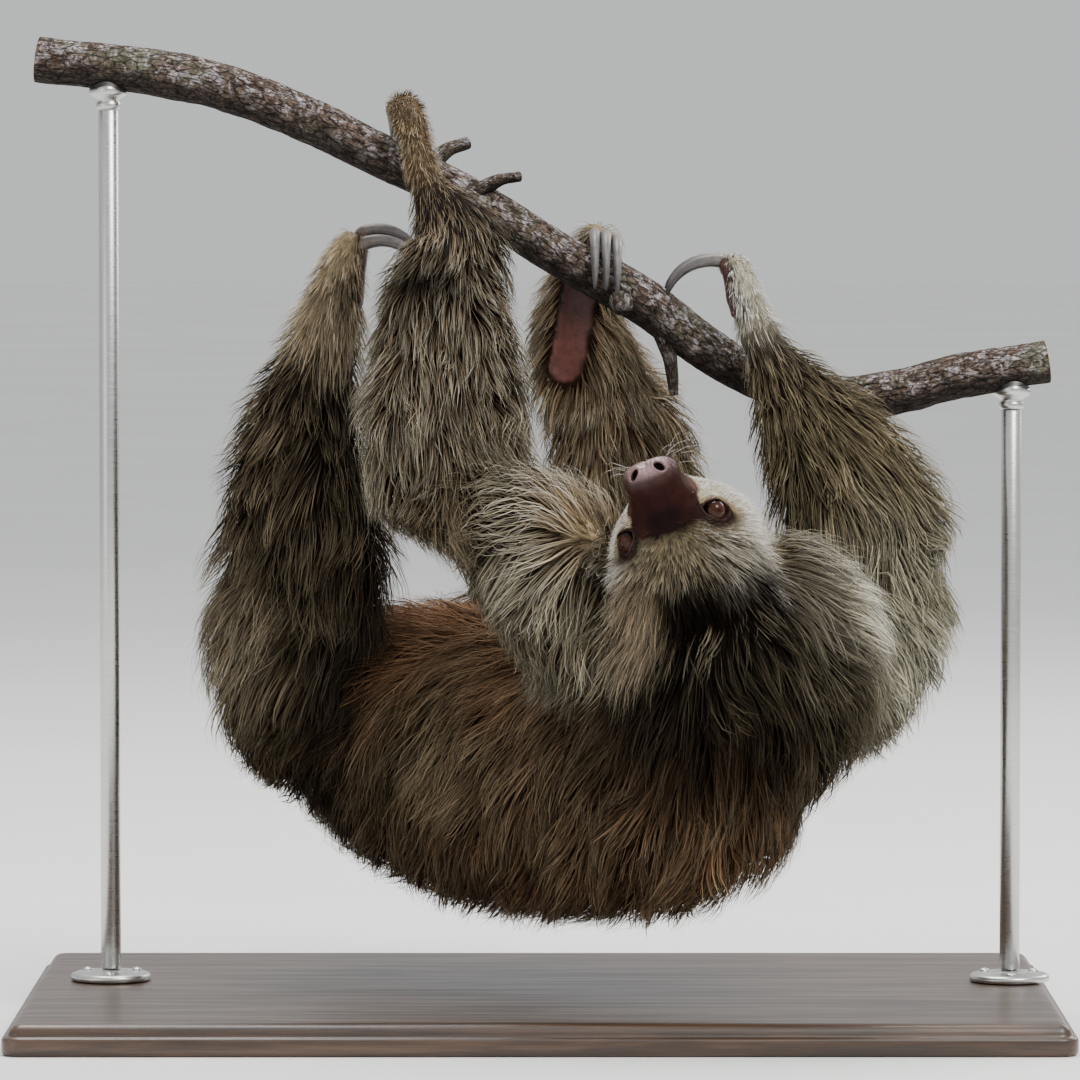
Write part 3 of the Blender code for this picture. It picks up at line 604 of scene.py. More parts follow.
# ------------ finishes
class Finish:
    """A material as it is put together: its shader, and short ways to add nodes before it."""

    def __init__(self, name, **sockets):
        self.material = bpy.data.materials.new(name)
        self.material.use_nodes = True
        self.tree = self.material.node_tree
        self.shader = self.tree.nodes["Principled BSDF"]
        self.set(self.shader, **sockets)

    def feed(self, socket, value):
        """Links another node's output to a socket, or sets the socket's own value."""
        if isinstance(value, bpy.types.NodeSocket):
            self.tree.links.new(value, socket)
        else:
            socket.default_value = value

    def set(self, node, **sockets):
        """Feeds the node's inputs, whose names are written with _ for a space."""
        for name, value in sockets.items():
            self.feed(node.inputs[name.replace("_", " ")], value)

    def add(self, kind, settings=None, **sockets):
        """A new node of that kind."""
        node = self.tree.nodes.new("ShaderNode" + kind)
        for name, value in (settings or {}).items():
            setattr(node, name, value)
        self.set(node, **sockets)
        return node

    def place(self, scale=(1, 1, 1)):
        """Object coordinates, stretched."""
        coordinates = self.add("TexCoord").outputs["Object"]
        return self.add("Mapping", Vector=coordinates, Scale=scale).outputs["Vector"]

    def chart(self, name, scale=(1, 1, 1)):
        """A UV map's coordinates, stretched."""
        coordinates = self.add("UVMap", {"uv_map": name}).outputs["UV"]
        return self.add("Mapping", Vector=coordinates, Scale=scale).outputs["Vector"]

    def tint(self):
        """The colour attribute "tint"."""
        return self.add("Attribute", {"attribute_name": "tint"}).outputs["Color"]

    def share(self, name):
        """An attribute's number."""
        return self.add("Attribute", {"attribute_name": name}).outputs["Fac"]

    def noise(self, vector, scale, detail=4.0, roughness=0.55, distortion=0.0):
        """Cloudy noise from 0 to 1."""
        return self.add("TexNoise", Vector=vector, Scale=scale, Detail=detail, Roughness=roughness,
                        Distortion=distortion).outputs["Fac"]

    def cells(self, vector, scale, feature="F1"):
        """Distance to the nearest of many scattered points."""
        return self.add("TexVoronoi", {"feature": feature}, Vector=vector, Scale=scale).outputs["Distance"]

    def spread(self, value, low, high, to_low=0.0, to_high=1.0):
        """A value's range from low to high carried to another range, and held at its ends."""
        return self.add("MapRange", {"interpolation_type": "SMOOTHSTEP"}, Value=value, From_Min=low,
                        From_Max=high, To_Min=to_low, To_Max=to_high).outputs["Result"]

    def join(self, operation, first, second):
        """Two values put together by a math node."""
        node = self.add("Math", {"operation": operation})
        self.feed(node.inputs[0], first)
        self.feed(node.inputs[1], second)
        return node.outputs[0]

    def times(self, first, second):
        """Two values multiplied."""
        return self.join("MULTIPLY", first, second)

    def mix(self, share, first, second, blend="MIX"):
        """Two colours mixed by a share."""
        node = self.add("Mix", {"data_type": "RGBA", "blend_type": blend})
        self.feed(node.inputs[0], share)
        for socket, colour in zip(node.inputs[6:8], (first, second)):
            self.feed(socket, colour if isinstance(colour, bpy.types.NodeSocket) else (*colour[:3], 1.0))
        return node.outputs[2]

    def scaled(self, colour, value):
        """A colour multiplied by a value."""
        grey = self.add("CombineColor", Red=value, Green=value, Blue=value).outputs["Color"]
        return self.mix(1.0, colour, grey, "MULTIPLY")

    def bump(self, height, distance, strength=1.0):
        """Relief of that height in metres, on the shader's normal."""
        made = self.add("Bump", Height=height, Distance=distance, Strength=strength)
        self.set(self.shader, Normal=made.outputs["Normal"])


@functools.cache
def coat_finish():
    """Coarse hair: each tuft's own tint, with fine streaks along it."""
    f = Finish("coarse hair")
    streaks = f.noise(f.chart("lock", (9.0, 0.9, 1.0)), 1.0, 3.0, 0.65)
    share = f.spread(streaks, 0.30, 0.70, 0.42, 1.55)
    f.set(f.shader, Base_Color=f.scaled(f.tint(), share), Roughness=f.spread(streaks, 0.3, 0.7, 0.66, 0.48),
          Specular_IOR_Level=f.spread(f.tint(), 0.0, 0.15, 0.03, 0.17))
    f.bump(streaks, 0.0004, 0.8)
    return f.material


def skin_finish():
    """Skin, matt and cloudy under the coat, finely wrinkled, and shining where it is wet."""
    f = Finish("animal skin")
    wet = f.share("wet")
    grain = f.noise(f.place(), 900.0, 5.0, 0.6)
    folds = f.cells(f.place(), 620.0)
    cloud = f.noise(f.place(), 120.0, 4.0)
    colour = f.scaled(f.tint(), f.spread(cloud, 0.25, 0.75, 0.72, 1.3))
    colour = f.scaled(colour, f.spread(folds, 0.05, 0.5, 0.8, 1.1))
    rough = f.join("SUBTRACT", f.spread(grain, 0.3, 0.7, 0.70, 0.56), f.times(wet, 0.42))
    shine = f.spread(wet, 0.0, 1.0, 0.08, 0.50)
    f.set(f.shader, Base_Color=colour, Roughness=rough, Specular_IOR_Level=shine)
    relief = f.join("ADD", f.times(grain, 0.6), f.times(folds, 0.7))
    f.bump(relief, 0.00035, 0.8)
    return f.material


@functools.cache
def eye_finish():
    """Wet eye: tinted by rings round the pupil, with fine spokes in the iris."""
    f = Finish("wet eye", Roughness=0.05, Specular_IOR_Level=0.20)
    spokes = f.noise(f.chart("dial", (46.0, 3.0, 1.0)), 1.0, 3.0)
    f.set(f.shader, Base_Color=f.scaled(f.tint(), f.spread(spokes, 0.3, 0.7, 0.6, 1.4)))
    return f.material


@functools.cache
def claw_finish():
    """Horn: tinted along its length, with fine lengthwise streaks and worn flecks."""
    f = Finish("claw horn", Specular_IOR_Level=0.5)
    streaks = f.noise(f.chart("lock", (26.0, 2.2, 1.0)), 1.0, 5.0, 0.6)
    flecks = f.noise(f.place(), 260.0, 4.0)
    colour = f.scaled(f.tint(), f.spread(streaks, 0.25, 0.75, 0.55, 1.35))
    colour = f.scaled(colour, f.spread(flecks, 0.3, 0.7, 0.8, 1.15))
    f.set(f.shader, Base_Color=colour, Roughness=f.spread(flecks, 0.3, 0.7, 0.30, 0.52))
    f.bump(streaks, 0.0003, 0.8)
    return f.material


def bark_finish(bark, moss, lichen):
    """Old bark: rough plates with dark cracks between them, partly their own dark colour and partly painted
    shade, grey lichen in specks where it faces up, a little moss, and painted shade that darkens the
    underside while painted light brightens the top."""
    f = Finish("mossy bark", Specular_IOR_Level=0.2)
    upper = f.share("upper")
    ridges = f.noise(f.chart("lock", (1.0, 0.3, 1.0)), 420.0, 8.0, 0.70, 0.9)
    plates = f.cells(f.chart("lock", (1.0, 0.45, 1.0)), 210.0, "DISTANCE_TO_EDGE")
    cloud = f.noise(f.place(), 26.0, 5.0, 0.6, 0.4)
    patches = f.noise(f.place(), 150.0, 7.0, 0.70, 0.6)
    specks = f.noise(f.place(), 480.0, 4.0, 0.6)
    # The cracks: the bark's own darker crevices, darkened further as painted shade.
    crack_colour_and_shade = [value * 0.16 for value in bark]
    colour = f.mix(f.spread(ridges, 0.38, 0.62), crack_colour_and_shade, bark)
    mossy = f.times(f.spread(cloud, 0.50, 0.68), f.spread(upper, 0.2, 0.8, 0.2, 0.7))
    colour = f.mix(mossy, colour, moss)
    crust = f.times(f.spread(patches, 0.47, 0.60), f.spread(upper, 0.25, 0.85, 0.12, 1.0))
    colour = f.mix(f.times(crust, f.spread(ridges, 0.40, 0.52)), colour, lichen)
    # Painted shade in the cracks between the plates.
    colour = f.scaled(colour, f.spread(plates, 0.0, 0.10, 0.35, 1.0))
    # Painted shade and light: the underside is darkened and the top brightened as light falls from above; the
    # specks vary at random.
    specks_and_painted_shade = f.times(f.spread(specks, 0.3, 0.7, 0.5, 1.4), f.spread(upper, 0, 0.8, 0.32, 1.25))
    colour = f.scaled(colour, specks_and_painted_shade)
    f.set(f.shader, Base_Color=colour, Roughness=f.spread(specks, 0.3, 0.7, 0.95, 0.78))
    relief = f.join("ADD", ridges, f.times(f.spread(plates, 0.0, 0.12), 0.5))
    f.bump(f.join("ADD", relief, f.times(specks, 0.4)), 0.0020, 1.0)
    return f.material


def cut_wood_finish():
    """A sawn end: pale wood with rings round the pith."""
    f = Finish("cut wood", Specular_IOR_Level=0.3, Roughness=0.8)
    rings = f.add("TexWave", {"wave_type": "RINGS", "rings_direction": "X", "wave_profile": "SAW"},
                  Vector=f.chart("lock"), Scale=150.0, Distortion=1.2, Detail=3.0).outputs["Fac"]
    f.set(f.shader, Base_Color=f.mix(rings, (0.30, 0.20, 0.11), (0.46, 0.33, 0.19)))
    f.bump(rings, 0.0003, 0.5)
    return f.material


def board_finish(colour):
    """Dark stained wood, satin, with grain along the board."""
    f = Finish("stained wood", Specular_IOR_Level=0.5, Coat_Weight=0.25, Coat_Roughness=0.25)
    grain = f.noise(f.place((1.0, 16.0, 16.0)), 7.0, 8.0, 0.62, 0.5)
    pores = f.noise(f.place((3.0, 120.0, 120.0)), 8.0, 3.0, 0.6)
    dark = [value * 0.35 for value in colour]
    shade = f.mix(f.spread(grain, 0.32, 0.66), dark, colour)
    f.set(f.shader, Base_Color=f.scaled(shade, f.spread(pores, 0.35, 0.6, 0.72, 1.08)),
          Roughness=f.spread(grain, 0.3, 0.7, 0.46, 0.34))
    f.bump(pores, 0.0002, 0.5)
    return f.material


def steel_finish():
    """Brushed steel: fine rings of scratches, and a cloudy sheen."""
    f = Finish("brushed steel", Metallic=1.0)
    scratches = f.noise(f.place((30.0, 30.0, 900.0)), 3.0, 4.0, 0.7)
    cloud = f.noise(f.place(), 40.0, 4.0)
    f.set(f.shader, Base_Color=f.mix(cloud, (0.50, 0.50, 0.49), (0.62, 0.62, 0.60)),
          Roughness=f.spread(scratches, 0.3, 0.7, 0.24, 0.42))
    f.bump(scratches, 0.00006, 0.6)
    return f.material


# ------------ the bare body
PART_NAMES = [*PARTS, "head"]
LOFT_SIDES = 28
SKIN_VOXEL, SKIN_SMOOTHINGS = 0.0038, 4
# Bare soles and palms: the way they face, their two ends, and half their width
BARE_PALMS = {
    "foot_right": ((0.1, -1.0, 0.05), (0.0305, 0.0, 0.48), (0.0205, 0.0, 0.4225), 0.0118),
    "foot_left": ((1.0, -0.25, 0.05), (-0.118, 0.011, 0.498), (-0.122, 0.01, 0.466), 0.0055),
    "hand_right": ((-0.95, -0.2, -0.1), (0.122, -0.026, 0.486), (0.129, -0.032, 0.458), 0.0055),
    "hand_left": ((0.0, 0.8, -0.6), (-0.091, 0.004, 0.58), (-0.08, -0.03, 0.562), 0.008),
}
PAINTED_SHADE_REACH = 1.8  # reach of the painted shade on the skin round a sole, in its half widths
SOLE_RISE, SOLE_GROOVE = 0.0016, 0.0010  # how far a sole swells, and how deep the groove round it is
BLEND_REACH = 0.010  # parts' shares fall by e over this distance


# Every part's loft without its coat, and the head's
BODY = {name: Loft(stations, coat) for name, (stations, coat) in PARTS.items()}
BODY["head"] = head_loft()


def measure(points, names=PART_NAMES):
    """How far points lie outside the bare body, the outward normal of the part nearest to each, each part's
    share in the place, and how far along its part the place lies."""
    nearest = np.full(len(points), 9.0)
    normal = np.zeros((len(points), 3))
    along = np.zeros(len(points))
    shares = np.zeros((len(points), len(PART_NAMES)))
    for name in names:
        ratio, outward, radius, share = BODY[name].local(points)
        away = (ratio - 1) * radius
        closer = away < nearest
        nearest = np.where(closer, away, nearest)
        normal[closer] = outward[closer]
        along[closer] = share[closer]
        shares[:, PART_NAMES.index(name)] = np.exp(-np.clip(away, -0.01, 0.2) / BLEND_REACH)
    return nearest, normal, shares / shares.sum(1, keepdims=True), along


def palm_share(points, normals, shares, margin=1.0):
    """1 on the bare soles and palms and 0 elsewhere. Seen the way it faces, each is the set of places within
    its half width, times the margin, of the line between its ends."""
    bare = np.zeros(len(normals))
    for name, (direction, start, end, reach) in BARE_PALMS.items():
        facing = unit(direction)
        start, line = np.array(start), np.array(end) - start
        along = np.clip((points - start) @ line / (line @ line), 0, 1)
        v = points - start - along[:, None] * line
        distance = np.linalg.norm(v - (v @ facing)[:, None] * facing, axis=1)
        inside = ramp(distance, reach * margin * 1.1, reach * margin * 0.85)
        inside = inside * ramp(normals @ facing, 0.15, 0.45)
        bare = np.maximum(bare, inside * ramp(shares[:, PART_NAMES.index(name)], 0.10, 0.25))
    return bare


# ------------ the coat's colours
TONES = {
    "black": (0.006, 0.004, 0.003),
    "dark": (0.018, 0.012, 0.008),
    "brown": (0.072, 0.045, 0.024),
    "rust": (0.19, 0.092, 0.042),
    "olive": (0.125, 0.1, 0.054),
    "buff": (0.24, 0.185, 0.11),
    "grey": (0.37, 0.338, 0.242),
    "tan": (0.42, 0.3, 0.175),
    "pale": (0.54, 0.505, 0.38),
    "cream": (0.86, 0.79, 0.68),
}
SKIN_TONES = {
    "cheek fold": (0.1, 0.055, 0.042),
    "snout": (0.038, 0.012, 0.01),
    # the nose's pale end: partly its own pinkish skin, partly a painted highlight of its wet shine
    "nose": (0.26, 0.165, 0.162),
    "nostril rim": (0.11, 0.04, 0.036),
    # the nostrils' dark lining, darkened further as painted shade in their pits
    "nostril": (0.01, 0.003, 0.003),
    "lid": (0.012, 0.005, 0.004),
    "lid rim": (0.095, 0.05, 0.046),
    # painted shade in the eye socket behind the eyeball
    "socket": (0.008, 0.003, 0.003),
}
WHISKER_TONES = [(0.35, 0.30, 0.22), (0.75, 0.72, 0.64), (0.85, 0.83, 0.78)]
# How each part's hair looks and grows: its tones at the root, middle and tip, then its tufts to the square
# centimetre and their length in metres at the first and last station, then the way it lies. That is a fixed
# direction, and how much is added to it of the part's own line, of the way out to its left or right side, of
# the way from the middle of the face, and of its own line again where the skin faces up.
COAT = {
    "trunk": (("black", "brown", "buff"), (11.5, 0.084, 0.082), ((-0.12, 0, -1), -0.45, 0, 0, 0)),
    "neck": (("black", "dark", "olive"), (14, 0.074, 0.076), ((0, 0, -0.45), 0, 0, 1, 0)),
    "head": (("olive", "buff", "grey"), (88, 0.03, 0.012), ((0, 0, -0.45), 0, 0, 1, 0)),
    "upper_arm_left": (("dark", "olive", "grey"), (15, 0.074, 0.07), ((-0.25, 0, -0.9), 0.2, 0, 0.4, 1.6)),
    "forearm_left": (("black", "brown", "grey"), (18, 0.082, 0.014), ((0, 0, -0.55), -1, 0.45, 0, 0)),
    "upper_arm_right": (("dark", "olive", "grey"), (15, 0.074, 0.072), ((0.3, 0, -1), 0.2, 0, 0.3, 0.6)),
    "forearm_right": (("dark", "olive", "buff"), (18, 0.078, 0.014), ((0.25, 0, -0.5), -1, 0.2, 0, 0)),
    "thigh_left": (("dark", "brown", "olive"), (13, 0.08, 0.08), ((-0.65, 0, -1), 0.1, 0.1, 0, 0)),
    "shank_left": (("dark", "dark", "buff"), (16, 0.08, 0.036), ((-0.6, 0, -0.6), -1, 0.25, 0, 0)),
    "thigh_right": (("black", "brown", "brown"), (9.5, 0.062, 0.062), ((-0.2, 0, -1), -0.3, 0, 0, 0)),
    "shank_right": (("brown", "buff", "buff"), (17, 0.062, 0.044), ((0, 0, -0.5), -1, 0.6, 0, 0)),
    "hand_left": (("brown", "tan", "grey"), (48, 0.01, 0.006), ((0, 0, -0.2), -1, 0, 0, 0)),
    "hand_right": (("grey", "cream", "cream"), (55, 0.011, 0.006), ((0, 0, -0.2), -1, 0, 0, 0)),
    "foot_left": (("buff", "tan", "pale"), (38, 0.026, 0.012), ((0, 0, -0.3), -1, 0.2, 0, 0)),
    "foot_right": (("brown", "tan", "grey"), (34, 0.042, 0.017), ((0, 0, -0.3), -1, 0.9, 0, 0)),
}
# Places where the coat differs from its part's: centre, radius, strength, and tones from root to tip
COAT_MARKS = [
    ((0.105, -0.19, 0.205), 0.08, 1.0, ("black", "black", "black")),  # under the crown, down the neck: dark hair, with painted shade under the head
    ((0.195, -0.16, 0.265), 0.042, 0.5, ("dark", "olive", "buff")),  # down the right of the neck
    ((0.184, -0.16, 0.29), 0.032, 1.0, ("tan", "pale", "cream")),  # right of the crown
    ((0.154, -0.155, 0.322), 0.024, 0.8, ("buff", "grey", "cream")),  # behind the right cheek
    ((-0.062, 0.01, 0.258), 0.06, 1.0, ("rust", "rust", "rust")),  # belly
    ((-0.045, -0.064, 0.205), 0.055, 0.8, ("dark", "olive", "buff")),  # upper flank
    ((-0.102, 0.0, 0.28), 0.04, 1.0, ("black", "dark", "brown")),  # groin: dark hair, with painted shade between the left thigh and the trunk
    ((-0.118, -0.018, 0.272), 0.04, 1.0, ("black", "black", "dark")),  # inner side of the left knee: dark hair, with painted shade between the thigh and the trunk
    ((-0.12, -0.006, 0.222), 0.042, 1.0, ("black", "black", "dark")),  # inner side of the left thigh: dark hair, with painted shade between the thigh and the trunk
    ((-0.124, 0.008, 0.172), 0.036, 0.95, ("black", "black", "dark")),  # under the left thigh: dark hair, with painted shade between the thigh and the trunk
    ((-0.192, -0.02, 0.262), 0.05, 0.8, ("olive", "buff", "grey")),  # outer side of the left thigh
    ((0.03, -0.09, 0.085), 0.11, 0.75, ("brown", "rust", "buff")),  # the back, which hangs lowest
    ((0.215, -0.095, 0.245), 0.06, 0.9, ("olive", "grey", "pale")),  # right shoulder and elbow
    ((0.225, -0.08, 0.31), 0.05, 0.85, ("olive", "grey", "grey")),  # right forearm's outer side
    ((0.125, -0.165, 0.145), 0.055, 0.75, ("brown", "rust", "buff")),  # low on the right
    ((-0.03, -0.163, 0.328), 0.046, 0.9, ("black", "brown", "olive")),  # left elbow
    ((-0.05, -0.16, 0.35), 0.045, 0.75, ("black", "brown", "buff")),  # low on the left forearm
    ((0.008, -0.168, 0.321), 0.03, 0.75, ("dark", "grey", "pale")),  # front of the left upper arm
    ((0.031, -0.152, 0.328), 0.027, 0.9, ("tan", "tan", "cream")),  # left armpit, beside the muzzle
    ((-0.068, -0.06, 0.513), 0.02, 0.6, ("dark", "tan", "pale")),  # the left wrist
    ((-0.071, -0.081, 0.487), 0.017, 1.0, ("black", "black", "dark")),  # above the left wrist
    ((-0.126, 0.0, 0.472), 0.014, 0.7, ("dark", "dark", "brown")),  # inner side of the left foot
    ((0.055, 0.045, 0.388), 0.062, 0.95, ("rust", "tan", "pale")),  # front of the right shank
    ((0.086, 0.05, 0.376), 0.036, 0.7, ("brown", "olive", "buff")),  # outer side of the right shank
    ((0.037, 0.016, 0.51), 0.026, 1.0, ("buff", "pale", "cream")),  # toes of the right foot
]


def tone(name):
    """A named tone of the coat as a linear colour, from the panel's settings where they hold it."""
    settings = bpy.context.scene.sloth_coat
    chosen = {"rust": settings.belly_colour, "brown": settings.flank_colour, "buff": settings.limb_colour,
              "cream": settings.cheek_colour}
    return np.array(chosen[name]) if name in chosen else np.array(TONES[name])


def part_tones(shares):
    """Root, middle and tip colours from each part's tones, mixed by the parts' shares."""
    table = np.array([[tone(name) for name in COAT[part][0]] for part in PART_NAMES])
    return np.einsum("np,pkc->nkc", shares, table)


def toned(colours, share, names):
    """Root, middle and tip colours moved towards three named tones by a share."""
    wanted = np.array([tone(name) for name in names])
    return colours + share[:, None, None] * (wanted - colours)


def markings(points, normals, shares):
    """The coat's colours at the root, middle and tip of a hair that grows there."""
    colours = part_tones(shares)
    uneven = ripple(points, 0.040, 61)
    belly = shares[:, PART_NAMES.index("trunk")] * ramp(normals[:, 2] + 0.2 * uneven, 0.35, 1.0)
    colours = toned(colours, belly * 0.8, ("dark", "rust", "rust"))
    for centre, radius, strength, names in COAT_MARKS:
        distance = np.linalg.norm(points - centre, axis=1) * (1 + 0.25 * uneven)
        near = np.exp(-1.5 * (distance / radius) ** 2)
        colours = toned(colours, near * strength, names)
    return colours


def cheek_share(local):
    """1 on the cheeks' short pale hair and 0 elsewhere on the head."""
    forward, height, across = local[:, 0], local[:, 1], np.abs(local[:, 2])
    return ramp(across, 0.014, 0.021) * ramp(height, 0.022, 0.011) * ramp(forward, -0.048, -0.022)


def temple_share(local):
    """1 on the fuller tan hair of the left temple, behind and above the eye, and 0 elsewhere on the head."""
    forward, height, across = local[:, 0], local[:, 1], -local[:, 2]
    return ramp(across, 0.014, 0.026) * ramp(forward, 0.007, -0.010) * ramp(height, -0.018, -0.004)


def head_markings(local):
    """The coat's colours on the head: cream cheeks and throat, a buff forehead, and a near-black crown."""
    forward, height, across = local[:, 0], local[:, 1], local[:, 2]
    colours = np.tile(np.array([tone(name) for name in COAT["head"][0]]), (len(local), 1, 1))
    crown = ramp(height, 0.000, 0.014) * ramp(forward + 0.004 * ripple(local, 0.02, 62), 0.005, -0.011)
    colours = toned(colours, crown, ("black", "black", "dark"))
    beside = ramp(across, 0.008, 0.022) * ramp(forward, -0.020, 0.002)
    colours = toned(colours, beside * 0.75, ("brown", "grey", "cream"))
    colours = toned(colours, cheek_share(local), ("buff", "cream", "cream"))
    colours = toned(colours, temple_share(local) * 0.85, ("brown", "tan", "grey"))
    bridge = ramp(forward, 0.0155, 0.0225) * ramp(np.abs(across), 0.024, 0.012) * ramp(height, 0.0, 0.008)
    colours = toned(colours, bridge, ("black", "dark", "brown"))
    for side in (-1, 1):
        patch = ramp(lid_ratio(local, side), 2.2, 1.5) * below_eye(local, side, 0.002, -0.004)
        colours = toned(colours, patch * 0.9, ("black", "dark", "brown"))
    return colours


# ------------ the coat
FACE_MIDDLE = (0.020, 0.015, 0.0)
SWAY_LENGTH, SWAY = 0.045, 0.30  # distance between the coat's waves, and how far hair bends
ROOT_DEPTH = 0.0012  # how deep hairs start in the skin
HEADING_SPREAD, CURL = 0.09, 0.13  # how far hairs' headings differ, and how far they curl
STRAYS, STRAY_CURL = 0.20, 2.5  # share of hairs that curl more than the rest, and how much more
GUARD_SHARE = 0.58  # share of fine outer hairs among the tufts
HEAD_COAT_DEPTH = (0.018, 0.006)  # what other parts' coats see of the head's
PATCH, PATCH_EDGE = 0.003, 0.04  # a tuft's size in the map OFBake, and the map's margin
HAIR_STEPS, SHORT_HAIR_STEPS = 4, 3
HAIR_MIDDLE = 0.45  # where along a hair its middle tone lies
HAIR_FLATNESS = 0.45
SHORT_HAIRED = ("head", "hand_left", "hand_right", "foot_left", "foot_right")
HAIR_TAPER = np.array([0.72, 1.0, 0.84, 0.48])
COAT_PIECE_TRIANGLES = 180000  # at most in one piece of the coat
SQUARE_METRE = 1e4  # in square centimetres
HAIR_WHORL = np.array((0.027, 0.020, -0.001))  # on the head, between the eyes
WHISKERS, WHISKER_HALF_WIDTH = 14, 0.00016


def tangent_part(vectors, normals):
    """Vectors laid flat on the surface and made unit length."""
    return unit(vectors - (vectors * normals).sum(-1, keepdims=True) * normals)


def scatter(places, triangles, density, rng):
    """Seeded random places over triangles, as many to the square metre as the density at the corners says:
    the triangle of each, and the share of each corner."""
    a, b, c = (places[triangles[:, i]] for i in range(3))
    expected = np.linalg.norm(np.cross(b - a, c - a), axis=1) / 2 * density[triangles].mean(1)
    count = int(expected.sum())
    picked = rng.choice(len(triangles), count, p=expected / expected.sum())
    first, second = rng.random(count), rng.random(count)
    over = first + second > 1
    first, second = np.where(over, 1 - first, first), np.where(over, 1 - second, second)
    return picked, np.stack([1 - first - second, first, second], 1)


def blended(values, triangles, picked, corners):
    """Values at vertices carried to the scattered places."""
    return np.einsum("nk,nk...->n...", corners, values[triangles[picked]])


def beside_body(points):
    """How far points lie outside the body's lofts, and the outward normal there."""
    return measure(points)[:2]


def search_tree(places):
    """A search tree of places, which finds the nearest of them."""
    tree = KDTree(len(places))
    for i, place in enumerate(places):
        tree.insert(place, i)
    tree.balance()
    return tree


@functools.cache
def head_tree():
    """The search tree of the bare head's places."""
    return search_tree(bare_head()[1])


def beside_head(points):
    """How far points lie outside the head's surface or the neck's loft, whichever is nearer, and the outward
    normal there."""
    _, places, normals, _, _ = bare_head()
    nearest = [head_tree().find(point)[1] for point in points]
    outward = normals[nearest]
    away = ((points - places[nearest]) * outward).sum(1)
    from_neck, neck_outward, _, _ = measure(points, ["neck"])
    closer = from_neck < away
    return np.where(closer, from_neck, away), np.where(closer[:, None], neck_outward, outward)


def grow(roots, normals, lie, length, height, lift, droop, rng, steps, beside=beside_body):
    """The paths of hairs. Each starts in the skin at its lift from the lie, bends down by its droop and to
    and fro with its neighbours, and stays outside the body by its height in the coat, which it reaches on a
    quarter sine. Where the body falls away it is drawn in again by half."""
    count = len(roots)
    path = np.empty((count, steps + 1, 3))
    path[:, 0] = roots - normals * ROOT_DEPTH
    heading = unit(lie * np.cos(lift)[:, None] + normals * np.sin(lift)[:, None])
    heading = unit(heading + rng.normal(0, HEADING_SPREAD, (count, 3)))
    curl = rng.normal(0, CURL, (count, 3)) * np.where(rng.random((count, 1)) < STRAYS, STRAY_CURL, 1.0)
    swing = (SWAY * ramp(length, 0.008, 0.050))[:, None]
    for k in range(1, steps + 1):
        step = path[:, k - 1] + heading * (length / steps)[:, None]
        away, outward = beside(step)
        wanted = height * math.sin(math.pi / 2 * min(1.0, 1.25 * k / steps))
        back = np.maximum(wanted - away, 0) - 0.5 * np.maximum(away - wanted * 1.15, 0)
        step = step + outward * back[:, None]
        path[:, k] = step
        sway = np.stack([ripple(step, SWAY_LENGTH, 41 + axis, 2) for axis in range(3)], -1)
        heading = unit(step - path[:, k - 1]) + DOWN * droop[:, None] / steps
        heading = unit(heading + curl * 0.5 + swing * sway)
    return path


def guard_and_under(length, depth, rng):
    """Two kinds of tuft: fine guard hairs, which lie outermost, and broad flat locks of under coat below.
    Returns which are guard hairs, each tuft's half width, and its height in the coat."""
    count = len(length)
    guard = rng.random(count) < GUARD_SHARE
    width = np.where(guard, rng.uniform(0.23, 0.46, count), rng.uniform(0.8, 1.45, count))
    width = 1.08 * bpy.context.scene.sloth_coat.width * width * (0.34 + 0.66 * ramp(length, 0.004, 0.045))
    height = depth * np.where(guard, rng.uniform(0.45, 1.15, count), rng.uniform(0.08, 0.85, count))
    return guard, width, height


def varied(colours, guard, own, rng, even):
    """The markings' colours as tufts carry them: guard hairs paler towards their tips, under coat darker, and
    each lock and tuft a little lighter or darker than the next, all less where it is even."""
    count = len(colours)
    spread = rng.normal(0, 0.32, count)[own] + rng.normal(0, 0.28, count)
    colours = colours * np.exp(spread * (1 - 0.6 * even))[:, None, None]
    share = np.where(guard[:, None], (1.0, 1.15, 1.32), (0.75, 0.70, 0.70))
    share = share + even[:, None] * (1.05 - share)
    return np.clip(colours * share[:, :, None], 0, 0.95)


def clump(path, roots, share, rng, every):
    """Draws hairs together into locks: each goes over to its nearest leader's path. Returns the new paths
    and each hair's leader."""
    leaders = rng.permutation(len(roots))[:max(1, len(roots) // every)]
    tree = search_tree(roots[leaders])
    own = leaders[[tree.find(place)[1] for place in roots]]
    pull = np.linspace(0, 1, path.shape[1]) ** 1.3
    pull = (share * rng.uniform(0.55, 1.0, len(roots)))[:, None, None] * pull[None, :, None]
    drawn = path[own] + (roots - roots[own])[:, None] * 0.12
    return path * (1 - pull) + drawn * pull, own


